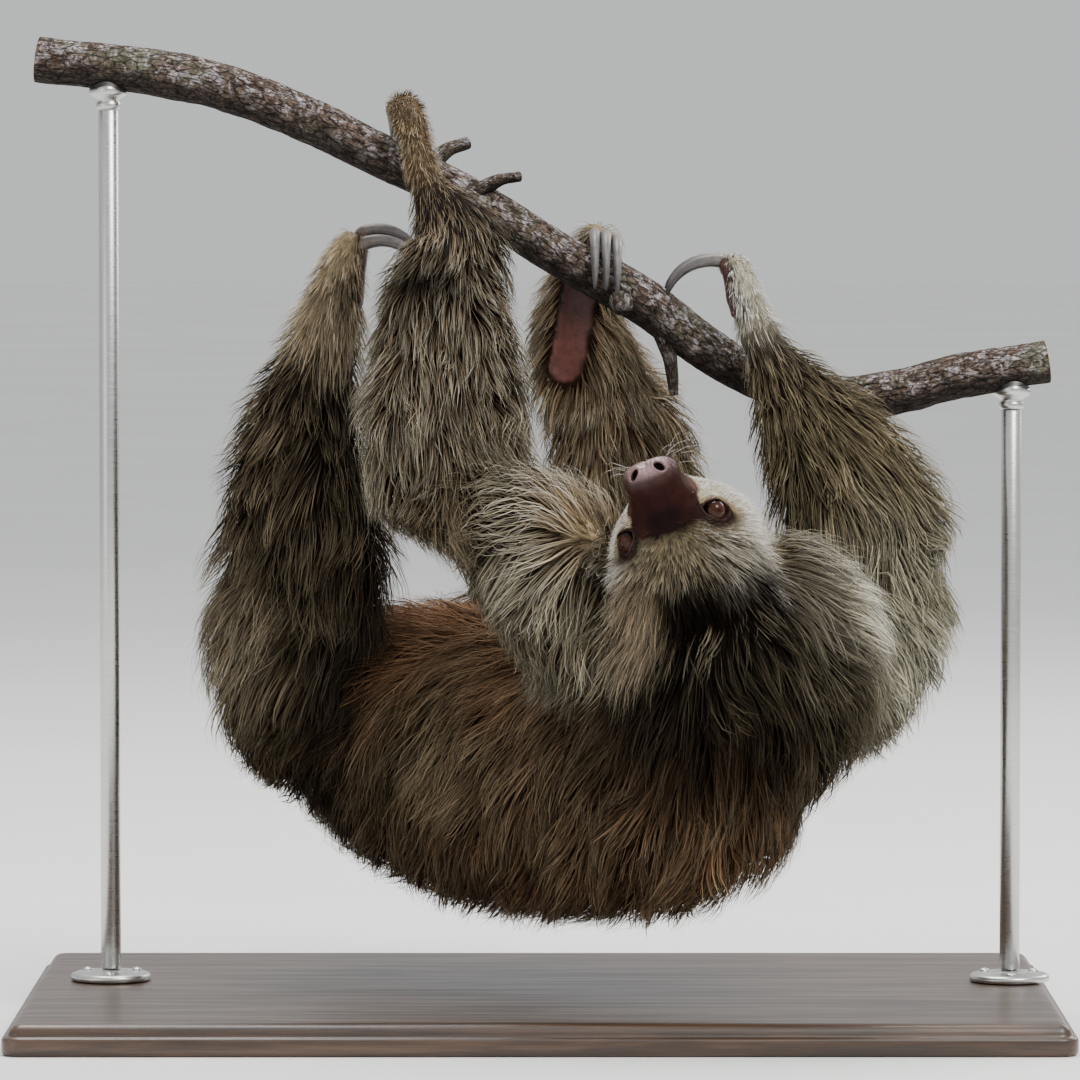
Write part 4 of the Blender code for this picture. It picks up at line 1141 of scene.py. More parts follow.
def tuft_mesh(name, path, normals, width, colours, chart, rng):
    """Joined tufts: three-sided tubes along their paths, flattened against the body, widest in their first
    half and drawn to a point. The map "lock" runs round and along each tuft, and in "OFBake" it is a small
    patch at its root's place on the part's chart."""
    count, steps, sides = len(path), path.shape[1] - 1, 3
    along = unit(np.gradient(path, axis=1))
    side = unit(np.cross(along, normals[:, None]))
    up = np.cross(side, along)
    angle = TURN * np.arange(sides) / sides + math.pi / 2
    taper = np.interp(np.arange(steps) / steps, np.arange(4) / 4, HAIR_TAPER)
    half = (width[:, None] * taper)[:, :, None, None]
    rings = path[:, :steps, None] + half * (side[:, :steps, None] * np.cos(angle)[:, None]
                                            + up[:, :steps, None] * HAIR_FLATNESS * np.sin(angle)[:, None])
    places = np.concatenate([rings.reshape(count, -1, 3), path[:, steps:]], 1)
    each = places.shape[1]
    quads = grid_quads(steps, sides)
    tip = np.stack([(steps - 1) * sides + np.arange(sides),
                    (steps - 1) * sides + (np.arange(sides) + 1) % sides, np.full(sides, each - 1)], -1)
    triangles = np.vstack([tip, [[2, 1, 0]]])
    first = (np.arange(count) * each)[:, None, None]
    mesh = make_mesh(name, places.reshape(-1, 3), (quads[None] + first).reshape(-1, 4),
                     (triangles[None] + first).reshape(-1, 3))
    share = np.append(np.repeat(np.arange(steps) / steps, sides), 1.0)
    middle = np.clip(share / HAIR_MIDDLE, 0, 1)[None, :, None]
    end = np.clip((share - HAIR_MIDDLE) / (1 - HAIR_MIDDLE), 0, 1)[None, :, None]
    tint = colours[:, None, 0] * (1 - middle) + colours[:, None, 1] * middle
    tint = tint * (1 - end) + colours[:, None, 2] * end
    add_tint(mesh, tint.reshape(-1, 3))
    round_it = np.append(np.tile(np.arange(sides) / sides, steps), 0.5)
    local = np.stack([round_it, share], 1)
    shift = rng.uniform(0, 90, (count, 1, 2))
    corners = [quads.ravel(), triangles.ravel()]
    add_map(mesh, "lock", np.concatenate([(local[c][None] + shift).reshape(-1, 2) for c in corners]))
    patch = PATCH_EDGE + (1 - 2 * PATCH_EDGE) * chart[:, None]
    in_patch = [(patch + PATCH * local[c][None]).reshape(-1, 2) for c in corners]
    add_map(mesh, "OFBake", np.concatenate(in_patch))
    return mesh


def head_chart(local):
    """Where places lie on the head's unwrap: along the nose's line, and round it."""
    turn = np.arctan2(local[:, 2], local[:, 1]) / TURN + 0.5
    return np.stack([np.clip((local[:, 0] - HEAD_ROWS[0][0]) / HEAD_LENGTH, 0, 1), turn], 1)


def put_coat(part, path, normals, width, colours, chart, rng):
    """One part's tufts as finished pieces, shared out at random so that each stays a light mesh."""
    in_tuft = 6 * (path.shape[1] - 1) - 2
    pieces = math.ceil(len(path) * in_tuft / COAT_PIECE_TRIANGLES)
    for i, mine in enumerate(np.array_split(rng.permutation(len(path)), pieces)):
        name = f"coat_{part}" if pieces == 1 else f"coat_{part}_{i + 1}"
        mesh = tuft_mesh(name, path[mine], normals[mine], width[mine], colours[mine], chart[mine], rng)
        put(name, mesh, coat_finish())


def nearest_station(points, loft):
    """The station of a loft that lies nearest to each point."""
    return ((loft.centre[None] - points[:, None]) ** 2).sum(-1).argmin(1)


def chart_of(points, part):
    """Where places lie on a part's unwrap: along its line, and round it."""
    loft = BODY[part]
    line = loft.centre
    near = nearest_station(points, loft)
    v = points - line[near]
    turn = np.arctan2((v * loft.deep[near]).sum(1), (v * loft.wide[near]).sum(1))
    slide = (v * loft.along[near]).sum(1) / np.linalg.norm(np.diff(line, axis=0), axis=1).sum()
    return np.stack([np.clip(near / (len(line) - 1) + slide, 0, 1), turn / TURN + 0.5], 1)


@functools.cache
def bare_body():
    """The body without the head as one closed surface: all lofts joined by a voxel remesh, then each vertex
    moved half-way to the mean of its neighbours. Returns places, normals and quads."""
    shapes = [facing_out(*closed_tube(BODY[name].grid(LOFT_SIDES))) for name in PARTS]
    made = new_object("body lofts", make_mesh("body lofts", *gather(shapes)))
    remesh = made.modifiers.new("join", "REMESH")
    remesh.mode, remesh.voxel_size = "VOXEL", SKIN_VOXEL
    joined = bpy.data.meshes.new_from_object(made.evaluated_get(bpy.context.evaluated_depsgraph_get()))
    bpy.data.objects.remove(made)
    places, quads = read_mesh(joined)
    edges = np.vstack([quads[:, [i, (i + 1) % 4]] for i in range(4)])
    number = np.bincount(edges[:, 0], minlength=len(places))[:, None]
    for _ in range(SKIN_SMOOTHINGS):
        sums = [np.bincount(edges[:, 0], places[edges[:, 1], axis], len(places)) for axis in range(3)]
        places = (places + np.stack(sums, 1) / number) / 2
    return places, vertex_normals(places, quads), quads


@functools.cache
def bare_head():
    """The head's grid on its own axes, in world places, and as closed faces, with normals."""
    places, quads, triangles = facing_out(*closed_tube(on_head(head_surface())))
    return to_head(places), places, vertex_normals(places, quads), quads, triangles


def face_skin_tints(local, bare):
    """Colours of the head's skin: dark under the hair, red-brown on the muzzle, pale on the nose's end partly
    as a painted highlight of its wet shine, painted shade in the nostrils' pits and the eye sockets, and dark
    on the lids but for their rims."""
    settings = bpy.context.scene.sloth_body
    under = head_markings(local)[:, 0]
    muzzle = np.array(settings.muzzle_colour)
    colours = under + bare[:, None] * (muzzle - under)

    def towards(share, colour):
        return colours + np.clip(share, 0, 1)[:, None] * (np.array(colour) - colours)

    forward, height, across = local.T
    ridge = bare * ramp(forward, 0.044, 0.032) * ramp(np.abs(across), 0.016, 0.006)
    colours = towards(ridge, muzzle * 0.35)
    fold = ramp(np.abs(across), 0.013, 0.020) * ramp(forward, 0.047, 0.036) * ramp(height, 0.010, 0.002)
    colours = towards(bare * fold * 0.5, SKIN_TONES["cheek fold"])
    colours = towards(ramp(forward, 0.044, 0.060) * 0.5, SKIN_TONES["snout"])
    # Partly a painted highlight: the nose's end is paled where its wet skin shines.
    colours = towards(ramp(forward, 0.0570, 0.0615) * 0.70, SKIN_TONES["nose"])
    for side in (-1, 1):
        nostril = nostril_ratio(local, side)
        colours = towards(0.3 * hill(nostril, 1.30, 0.25), SKIN_TONES["nostril rim"])
        # Partly painted shade: the nostril's pit is darkened.
        colours = towards(ramp(nostril, 1.08, 0.85), SKIN_TONES["nostril"])
        lid = lid_ratio(local, side)
        lower = below_eye(local, side, 0.003, -0.003)
        colours = towards(ramp(lid, 1.8, 1.35) * (0.35 + 0.6 * lower), SKIN_TONES["lid"])
        colours = towards(hill(lid, 1.12, 0.05) * (0.10 + 0.5 * lower), SKIN_TONES["lid rim"])
        # Painted shade: the socket behind the eyeball is darkened.
        colours = towards(ramp(lid, 1.02, 0.96), SKIN_TONES["socket"])
    return colours


def make_skin():
    """The one skin of the animal, body and head, with its colours and how wet it is at each vertex."""
    places, normals, quads = bare_body()
    _, _, shares, _ = measure(places)
    bare = palm_share(places, normals, shares)
    rim = 4 * bare * (1 - bare)
    # Painted shade round each sole and palm: the skin under the hair there is darkened, where the bare pad
    # sinks into the coat.
    shade = 1 - 0.85 * palm_share(places, normals, shares, PAINTED_SHADE_REACH)
    under = markings(places, normals, shares)[:, 0] * shade[:, None]
    # Painted shade: each sole darkens towards its upper end, which lies in shadow.
    sole = np.array(bpy.context.scene.sloth_body.sole_colour) * (1 - 0.7 * ramp(places[:, 2:], 0.430, 0.462))
    # Painted shade: the sole's edge, in the groove round it, is darkened.
    tints = (under + bare[:, None] * (sole - under)) * (1 - 0.85 * rim)[:, None]
    places = places + (SOLE_RISE * bare - SOLE_GROOVE * rim)[:, None] * normals
    local, head_places, _, head_quads, head_triangles = bare_head()
    head_bare = bare_share(local)
    shapes = [(places, quads, np.zeros((0, 3), int)), (head_places, head_quads, head_triangles)]
    mesh = make_mesh("skin", *gather(shapes))
    add_tint(mesh, np.vstack([tints, face_skin_tints(local, head_bare)]))
    add_share(mesh, "wet", np.concatenate([bare * 0.6, ramp(local[:, 0], 0.050, 0.063)]))
    put("skin", mesh, skin_finish(), FLESH)


def make_eye(side, name, node):
    """An eyeball of rings round its gaze, swollen over the iris. Its colour runs by rings from pupil to iris
    to its dark edge to the brown ball."""
    centre, gaze, long_axis, cross = eye_frame(side, IRIS_GAZE)
    polar = np.linspace(0.04, math.pi - 0.04, EYE_RINGS)
    round_it = np.arange(EYE_SIDES) / EYE_SIDES
    turn = TURN * round_it
    reach = EYE_RADIUS + CORNEA_RISE * np.exp(-(polar / 0.75) ** 2)
    out = (np.sin(polar) * reach)[:, None, None]
    rings = (np.cos(polar) * reach)[:, None, None] * gaze + out * (np.cos(turn)[:, None] * long_axis
                                                                  + np.sin(turn)[:, None] * cross)
    places, quads, triangles = facing_out(*closed_tube(on_head(centre + rings)))
    mesh = make_mesh(name, places, quads, triangles)
    angle = np.append(np.repeat(polar, EYE_SIDES), (0.0, math.pi))
    iris = np.array(bpy.context.scene.sloth_body.iris_colour)
    shades = [iris * share for share in IRIS_SHADES] + [(0.008, 0.004, 0.003), (0.012, 0.007, 0.005)]
    add_tint(mesh, between_stops(angle, EYE_STOPS, shades))
    dial = np.stack([np.append(np.tile(round_it, EYE_RINGS), (0, 0)), angle], 1)
    add_map(mesh, "dial", at_corners(dial, quads, triangles))
    put(name, mesh, eye_finish(), [node])


def claw_rings(start, heading, bend, turn):
    """A claw's sections along an arc of that turn, their depth falling as (1 - t) to its taper, with a ridge
    along the back and a groove underneath. Returns the rings, the share of the arc before each, and which of
    a section's points lie in its groove."""
    heading = unit(heading)
    bend = unit(np.array(bend) - np.dot(bend, heading) * heading)
    side = np.cross(heading, bend)
    t = np.linspace(CLAW_START, CLAW_END, CLAW_RINGS)
    angle = math.radians(turn) * t
    radius = CLAW_LENGTH / math.radians(turn)
    along, across = np.sin(angle)[:, None], (1 - np.cos(angle))[:, None]
    centre = np.array(start) + radius * (along * heading + across * bend)
    inward = np.cos(angle)[:, None] * bend - along * heading
    depth = CLAW_RADIUS * np.clip(1 - t, 0.001, 1) ** CLAW_TAPER * ramp(t, -0.20, 0.0)
    depth = depth * (1 + 0.05 * hill(t, 0.03, 0.03))
    a = TURN * np.arange(CLAW_SIDES) / CLAW_SIDES
    groove = 1 - 0.14 * hill(a, 0, 0.45) - 0.14 * hill(a, TURN, 0.45)
    ridge = 1 + 0.05 * hill(a, math.pi, 0.35)
    in_reach, side_reach = np.cos(a) * groove * ridge, np.sin(a) * CLAW_FLATNESS
    rings = centre[:, None] + depth[:, None, None] * (in_reach[:, None] * inward[:, None]
                                                      + side_reach[:, None] * side)
    return rings + 0.00012 * ripple(rings, 0.004, 9)[..., None] * inward[:, None], t, np.cos(a) > 0.5


def make_claw(name, node, start, heading, bend, turn):
    """A claw: its horn is warm at the root, grey along its length, and dark at the tip, with painted shade in
    the groove along its underside.
    """
    rings, t, groove_for_painted_shade = claw_rings(start, heading, bend, turn)
    places, quads, triangles = facing_out(*closed_tube(rings))
    mesh = make_mesh(name, places, quads, triangles)
    share = np.append(np.repeat(t, CLAW_SIDES), (0, 1))
    horn = np.array(bpy.context.scene.sloth_body.claw_colour)
    shades = [horn * (0.9, 0.70, 0.60), horn * (1.0, 0.92, 0.85), horn, horn * 0.7, horn * 0.35]
    # Painted shade: the groove along the claw's underside is darkened.
    under = 1 - 0.45 * np.append(np.tile(groove_for_painted_shade, CLAW_RINGS), (0, 0))
    add_tint(mesh, between_stops(share, CLAW_STOPS, shades) * under[:, None])
    round_it = np.append(np.tile(np.arange(CLAW_SIDES) / CLAW_SIDES, CLAW_RINGS), (0, 0))
    add_map(mesh, "lock", at_corners(np.stack([round_it, share], 1), quads, triangles))
    put(name, mesh, claw_finish(), [node])


@functools.cache
def skin_shares():
    """What measure says of the bare body's vertices."""
    return measure(bare_body()[0])


def sow(places, normals, quads, density, rng, *values):
    """Hair roots scattered over a surface, with a density to the square centimetre at each vertex. Returns
    places, normals, and the vertices' other values carried to them."""
    triangles = cut_quads(quads)
    picked, corners = scatter(places, triangles, density * SQUARE_METRE, rng)
    values = [places, normals, *values]
    roots, outward, *carried = (blended(each, triangles, picked, corners) for each in values)
    return roots, unit(outward), *carried


def growth_of(part, roots, outward, shares, along):
    """How the hair grows at its roots: its lie, its length and the coat's depth, mixed from those of all the
    parts by their shares."""
    count = len(roots)
    lie = np.zeros((count, 3))
    length = np.zeros(count)
    depth = np.zeros(count)
    from_face = unit(roots - on_head(FACE_MIDDLE))
    for i, name in enumerate(PART_NAMES):
        loft = BODY[name]
        last = len(loft.centre) - 1
        _, (_, at_first, at_last), (fixed, follow, splay, away, over) = COAT[name]
        near = np.clip((along * last).round().astype(int), 0, last)
        if name != part:
            near = nearest_station(roots, loft)
        outer = (roots - loft.centre[near]) / loft.radii[near].mean(1, keepdims=True) * (splay, 0, 0)
        follow = follow + over * ramp(outward[:, 2:], 0.1, 0.8)
        lie += shares[:, i:i + 1] * (np.array(fixed) + follow * loft.along[near] + outer + away * from_face)
        share = near / last
        length += shares[:, i] * (at_first + (at_last - at_first) * share)
        first_depth, last_depth = HEAD_COAT_DEPTH if name == "head" else loft.coat
        depth += shares[:, i] * (first_depth + (last_depth - first_depth) * share)
    return lie, length, depth


def make_part_coat(part):
    """The coat of one part: tufts scattered on it, grown along its lie, drawn into locks and coloured."""
    rng = np.random.default_rng(100 + PART_NAMES.index(part))
    settings = bpy.context.scene.sloth_coat
    places, normals, quads = bare_body()
    _, _, shares, along = skin_shares()
    mine = (shares.argmax(1) == PART_NAMES.index(part)).astype(float)
    outside_head = ramp(BODY["head"].local(places)[0], 0.80, 0.90)
    furred = outside_head * (1 - palm_share(places, normals, shares))
    density = COAT[part][1][0] * settings.density * mine * furred
    roots, outward, shares, along = sow(places, normals, quads, density, rng, shares, along)
    count = len(roots)
    lie, length, depth = growth_of(part, roots, outward, shares, along)
    lie = tangent_part(lie + rng.normal(0, 0.07, (count, 3)), outward)
    length = length * settings.length * rng.uniform(0.50, 1.12, count)
    guard, width, height = guard_and_under(length, depth, rng)
    lift = np.radians(rng.uniform(10, 30, count)) * ramp(depth, 0.0, 0.012)
    steps = SHORT_HAIR_STEPS if part in SHORT_HAIRED else HAIR_STEPS
    path = grow(roots, outward, lie, length, height, lift, np.full(count, 0.55), rng, steps)
    path, _ = clump(path, roots, 0.45 * ramp(length, 0.02, 0.06), rng, 60)
    path, own = clump(path, roots, np.where(guard, 0.55, 0.8) * ramp(length, 0.005, 0.03), rng, 9)
    colours = varied(markings(roots, outward, shares), guard, own, rng, np.zeros(count))
    put_coat(part, path, outward, width, colours, chart_of(roots, part), rng)


def make_head_coat():
    """The head's hair: it radiates from a whorl between the eyes, short round them and by the muzzle, and
    at its full length at the back of the head."""
    settings = bpy.context.scene.sloth_coat
    rng = np.random.default_rng(200)
    local, places, normals, quads, _ = bare_head()
    in_neck = ramp(BODY["neck"].local(places)[0], 0.88, 1.0)
    bridge = 0.8 * ramp(ahead_of_edge(local), 0.0085, 0.0) * ramp(np.abs(local[:, 2]), 0.020, 0.010)
    furred = np.maximum(1 - bare_share(local), bridge)
    furred = furred * ramp(np.minimum(lid_ratio(local, -1), lid_ratio(local, 1)), 1.30, 1.42)
    density = COAT["head"][1][0] * settings.density * furred * in_neck
    density = density * (0.30 + 0.70 * ramp(local[:, 0], -0.040, 0.006))
    roots, outward = sow(places, normals, quads, density, rng)
    at = to_head(roots)
    forward, count = at[:, 0], len(roots)
    eye = np.minimum(lid_ratio(at, -1), lid_ratio(at, 1))
    back = ramp(forward, 0.026, -0.030)
    temple = temple_share(at)
    cheek = cheek_share(at) * (1 - temple)
    radial = unit((at - HAIR_WHORL) * (0.6, 1.0, 1.0))
    lie = (radial + (-0.32, 0, 0)) @ HEAD_AXES + 0.35 * DOWN * back[:, None]
    lie = tangent_part(lie + rng.normal(0, 0.16, (count, 3)), outward)
    length = 0.0080 + 0.050 * ramp(forward, 0.018, -0.040) * (1 - 0.6 * cheek)
    length = length * (0.45 + 0.55 * ramp(eye, 1.2, 3.0)) * ramp(ahead_of_edge(at), 0.016, -0.004)
    length = length * (1 + 0.45 * temple) * rng.uniform(0.6, 1.15, count) * settings.length
    depth = (0.0010 + 0.0145 * ramp(forward, 0.024, -0.010)) * (1 - 0.40 * cheek + 0.8 * temple)
    guard, width, height = guard_and_under(length, depth, rng)
    width = np.minimum(width * (0.66 + 0.62 * ramp(length, 0.020, 0.005)), length * 0.045)
    lift = np.radians(rng.uniform(7, 20, count)) * (1 - 0.5 * cheek + temple)
    path = grow(roots, outward, lie, length, height, lift, 0.45 * back, rng, SHORT_HAIR_STEPS, beside_head)
    path, own = clump(path, roots, np.where(guard, 0.4, 0.65) * ramp(length, 0.004, 0.02), rng, 7)
    colours = varied(head_markings(at), guard, own, rng, cheek)
    put_coat("head", path, outward, width, colours, head_chart(at), rng)


def make_whiskers():
    """A few long pale hairs beside the nose, each a thin tube along an arc that falls back."""
    rng = np.random.default_rng(300)
    side = np.where(np.arange(WHISKERS) % 2, 1, -1)
    turn = rng.uniform(1.5, 2.6, WHISKERS) * side
    forward = rng.uniform(0.050, 0.058, WHISKERS)
    at = np.stack([forward, np.cos(turn) * 0.0105, np.sin(turn) * 0.0150], 1)
    roots = on_head(at)
    outward = unit(at * (0, 1, 1)) @ HEAD_AXES
    heading = unit(outward + 0.8 * HEAD_AXES[0] + rng.normal(0, 0.25, (WHISKERS, 3)))
    step = (rng.uniform(0.015, 0.038, WHISKERS) / HAIR_STEPS)[:, None]
    path = [roots - outward * 0.002]
    for _ in range(HAIR_STEPS):
        path.append(path[-1] + heading * step)
        heading = unit(heading - 0.32 * HEAD_AXES[0] + 0.12 * DOWN)
    colours = np.tile(np.array(WHISKER_TONES), (WHISKERS, 1, 1))
    width = np.full(WHISKERS, WHISKER_HALF_WIDTH)
    mesh = tuft_mesh("whiskers", np.stack(path, 1), outward, width, colours, head_chart(at), rng)
    put("whiskers", mesh, coat_finish())


def wood_limb(stations, sides, steps, cap, relief):
    """A limb of wood: a loft of round sections with broken ridges and broad lumps. Returns the closed shape,
    which of its vertices are on its walls, how far up each faces (0 to 1), and its chart."""
    loft = Loft([(*row, row[-1]) for row in stations], (relief * 0.6, relief * 0.6), steps, cap)
    rings = loft.grid(sides, WOOD_CAP_RINGS)
    ends = np.concatenate([[True] * WOOD_CAP_RINGS, [False] * len(loft.centre), [True] * WOOD_CAP_RINGS])
    centre = rings.mean(1, keepdims=True)
    out = unit(rings - centre)
    turn = TURN * np.arange(sides) / sides
    steps_along = np.linalg.norm(np.diff(rings.mean(1), axis=0), axis=1)
    length = np.concatenate([[0], np.cumsum(steps_along)])
    flat = [length[:, None] * 0.30, WOOD_RADIUS * np.cos(turn), WOOD_RADIUS * np.sin(turn)]
    flat = np.stack(np.broadcast_arrays(*flat), -1)
    ridges = 0.5 - 1.6 * np.abs(ripple(flat, RIDGE_SPACING, 21, 3))
    lumps = ripple(rings, LUMP_SPACING, 22, 2)
    rise = relief * (0.55 * ridges + 0.45 * lumps) * np.where(ends, 0.3, 1)[:, None]
    rings = rings + out * rise[..., None]
    places, quads, triangles = facing_out(*closed_tube(rings))
    upper = np.append(ramp(out[..., 2] + 0.35 * ripple(rings, 0.02, 23), -0.9, 0.7).ravel(), (0.5, 0.5))
    wall = np.append(np.repeat(~ends, sides), (False, False))
    chart = np.stack([np.append(np.tile(turn * WOOD_RADIUS, len(rings)), (0, 0)),
                      np.append(np.repeat(length, sides), (0, length[-1]))], 1)
    return (places, quads, triangles), wall, upper, chart


def make_branch():
    """The cut branch with its broken twigs: bark on its walls, cut wood on its sawn ends."""
    settings = bpy.context.scene.sloth_branch
    limbs = [wood_limb(BRANCH_LINE, 112, 28, 0.10, settings.relief)]
    limbs += [wood_limb(twig, 20, 8, 0.35, settings.relief * 0.4) for twig in TWIGS]
    places, quads, triangles = gather([shape for shape, _, _, _ in limbs])
    mesh = make_mesh("branch_wood", places, quads, triangles)
    add_map(mesh, "lock", at_corners(np.vstack([chart for _, _, _, chart in limbs]), quads, triangles))
    add_share(mesh, "upper", np.concatenate([upper for _, _, upper, _ in limbs]))
    wall = np.concatenate([wall | (i > 0) for i, (_, wall, _, _) in enumerate(limbs)])
    bark = np.concatenate([wall[quads].any(1), wall[triangles].any(1)])
    finish = bark_finish(settings.bark_colour, settings.moss_colour, settings.lichen_colour)
    put("branch_wood", mesh, finish, ["branch"])
    mesh.materials.append(cut_wood_finish())
    mesh.polygons.foreach_set("material_index", np.where(bark, 0, 1).astype(np.int32))


def rounded_outline(half_width, half_depth, corner, arc=12):
    """A rectangle with round corners, anticlockwise: four quarter circles about the corners' centres."""
    angle = np.linspace(0, math.pi / 2, arc) + math.pi / 2 * np.arange(4)[:, None]
    quarters = np.stack([np.cos(angle), np.sin(angle)], -1)
    centres = np.array([(1, 1), (-1, 1), (-1, -1), (1, -1)]) * (half_width - corner, half_depth - corner)
    return (centres[:, None] + corner * quarters).reshape(-1, 2)


def make_board():
    """The base: a moulded edge carried round a rectangle with round corners."""
    settings = bpy.context.scene.sloth_stand
    low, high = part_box("stand_base")
    half_width, half_depth, thick = (high.x - low.x) / 2, (high.y - low.y) / 2, high.z - low.z
    rings = []
    for inset, height in BOARD_EDGE:
        inset = min(inset, half_depth - 0.004)
        outline = rounded_outline(half_width - inset, half_depth - inset, max(BOARD_CORNER - inset, 0.003))
        rings.append(np.column_stack([outline, np.full(len(outline), height * thick / BOARD_EDGE[-1][1])]))
    places, quads, triangles = facing_out(*closed_tube(np.array(rings)))
    places = places + (0, (low.y + high.y) / 2 - SET_BACK, low.z)
    put_shape("stand_board", (places, quads, triangles), board_finish(settings.wood_colour),
              ["stand_base"])


def turned(profile, x, y, sides=64):
    """A profile of (radius, height) turned about an upright axis, as rings."""
    angle = TURN * np.arange(sides) / sides
    return np.array([np.column_stack([x + r * np.cos(angle), y + r * np.sin(angle), np.full(sides, z)])
                     for r, z in profile])


def turned_shape(profile, x, y, sides=64):
    """The same as a closed shape that faces outwards."""
    return facing_out(*closed_tube(turned(profile, x, y, sides)))


def flange_shape(side, x, y, radius):
    """A rod's flange, a turned plate that rises to a collar, with its three domed screws."""
    low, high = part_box("stand_flange_" + side)
    wide, rise = (high.x - low.x) / 2, high.z - low.z
    profile = [(wide - 0.002, 0), (wide, 0.0006), (wide, rise * 0.45), (wide - 0.0008, rise * 0.62),
               (wide - 0.003, rise * 0.74), (radius + 0.0055, rise * 0.80), (radius + 0.004, rise * 0.90),
               (radius + 0.0022, rise), (radius * 0.5, rise)]
    shapes = [turned_shape([(r, low.z + z) for r, z in profile], x, y)]
    for i in range(SCREWS):
        angle = TURN * i / SCREWS + 0.5
        at_x, at_y = x + SCREW_REACH * math.cos(angle), y + SCREW_REACH * math.sin(angle)
        shapes.append(turned_shape([(r, low.z + rise * 0.72 + z) for r, z in SCREW_HEAD], at_x, at_y, 24))
    return gather(shapes)


def cradle_shape(side, x, y, radius, line):
    """A rod's cup. Its top follows the branch's underside: the centre's height less the root of radius
    squared less y squared."""
    low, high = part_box("stand_cup_" + side)
    i = np.abs(line[:, 0] - x).argmin()
    slope = line[min(i + 4, len(line) - 1)] - line[max(i - 4, 0)]
    slope = slope[2] / slope[0]
    wide = (high.x - low.x) / 2
    profile = [(radius + 0.0006, 0.0), (radius + 0.0016, 0.0006), (radius + 0.0016, 0.0040),
               (radius + 0.0004, 0.0050), (radius + 0.0008, 0.0062), (wide - 0.0012, 0.0088), (wide, 0.0100)]
    rings = list(turned([(r, low.z + z) for r, z in profile], x, y))
    reach = line[i, 3] + 0.0003
    for share in (1.0, 0.96, 0.86, 0.6, 0.3, 0.05):
        ring = turned([(wide * share, 0)], x, y)[0]
        fall = np.sqrt(np.maximum(reach ** 2 - (ring[:, 1] - line[i, 1]) ** 2, 1e-6))
        ring[:, 2] = line[i, 2] + slope * (ring[:, 0] - line[i, 0]) - fall
        rings.append(ring)
    return facing_out(*closed_tube(np.array(rings)))


def make_rods():
    """Two upright steel rods, each with a flange below and a cup above."""
    settings = bpy.context.scene.sloth_stand
    steel = steel_finish()
    line = smooth_line(BRANCH_LINE, 26)
    for side in ("left", "right"):
        low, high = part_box("stand_rod_" + side)
        x, y = (low.x + high.x) / 2, (low.y + high.y) / 2 - SET_BACK
        radius = min(settings.rod_radius, (high.x - low.x) / 2)
        shaft = [(radius - 0.001, low.z), (radius, low.z + 0.001), (radius, high.z - 0.0006),
                 (radius - 0.0006, high.z)]
        for name, shape, node in (("stand_foot_", flange_shape(side, x, y, radius), "stand_flange_"),
                                  ("stand_shaft_", turned_shape(shaft, x, y), "stand_rod_"),
                                  ("stand_cradle_", cradle_shape(side, x, y, radius, line), "stand_cup_")):
            put_shape(name + side, shape, steel, [node + side])


# ------------ the stage
CAMERA_AIM = Vector((0.0, SET_BACK, 0.308))
CAMERA_DISTANCE = 4.6
CAMERA_HEIGHT_ANGLE = math.radians(3.0)
CAMERA_LENS = 235.9
FLOOR_SIDES, FLOOR_RINGS = 96, (0.2, 1.0, 3.0, 9.0, 30.0)
# Each lamp: place, size, power and colour
LIGHTS = [
    ("key light", (1.5, -1.7, 2.9), 1.5, 110.0, (1.0, 0.985, 0.96)),
    ("fill light", (-2.6, -2.2, 1.0), 2.4, 16.0, (0.94, 0.97, 1.0)),
    ("top light", (-0.3, 0.8, 3.0), 1.6, 80.0, (1.0, 1.0, 1.0)),
    ("back light", (1.9, 2.4, 1.6), 1.4, 30.0, (1.0, 0.98, 0.95)),
]


def make_floor():
    """A plain pale floor: a flat grid of rings round the stand, out to thirty metres."""
    settings = bpy.context.scene.sloth_stage
    around = np.arange(FLOOR_SIDES)
    rings = turned([(r, 0) for r in FLOOR_RINGS], 0, 0, FLOOR_SIDES)
    places = np.vstack([rings.reshape(-1, 3), [(0, 0, 0)]])
    middle = np.stack([around, (around + 1) % FLOOR_SIDES, np.full(FLOOR_SIDES, len(places) - 1)], -1)
    quads = grid_quads(len(FLOOR_RINGS), FLOOR_SIDES)[:, ::-1]
    made = new_object("floor", make_mesh("floor", places, quads, middle))
    f = Finish("floor", Roughness=0.9, Specular_IOR_Level=0.15)
    cloud = f.noise(f.place(), 1.4, 3.0)
    f.set(f.shader, Base_Color=f.scaled(settings.floor_colour, f.spread(cloud, 0.2, 0.8, 0.97, 1.03)))
    made.data.materials.append(f.material)


def aim(made, place, way):
    """Sets a lamp or the camera at its place and turns it that way."""
    made.location = place
    made.rotation_mode = "QUATERNION"
    made.rotation_quaternion = way.to_track_quat("-Z", "Y")


def make_lights():
    """Large soft lamps round the object, and a pale even sky."""
    settings = bpy.context.scene.sloth_stage
    for name, place, size, power, colour in LIGHTS:
        lamp = bpy.data.lights.new(name, "AREA")
        lamp.shape, lamp.size = "DISK", size
        lamp.energy, lamp.color = power * settings.light, colour
        aim(new_object(name, lamp), place, CAMERA_AIM - Vector(place))
    world = bpy.data.worlds.new("pale sky")
    world.use_nodes = True
    nodes, links = world.node_tree.nodes, world.node_tree.links
    upward = nodes.new("ShaderNodeSeparateXYZ")
    links.new(nodes.new("ShaderNodeTexCoord").outputs["Generated"], upward.inputs["Vector"])
    fade = nodes.new("ShaderNodeMapRange")
    fade.interpolation_type = "SMOOTHSTEP"
    fade.inputs["From Max"].default_value = 0.5
    fade.inputs["To Min"].default_value = settings.sky * 0.86
    fade.inputs["To Max"].default_value = settings.sky
    links.new(upward.outputs["Z"], fade.inputs["Value"])
    links.new(fade.outputs["Result"], nodes["Background"].inputs["Strength"])
    nodes["Background"].inputs["Color"].default_value = (*settings.sky_colour, 1.0)
    bpy.context.scene.world = world


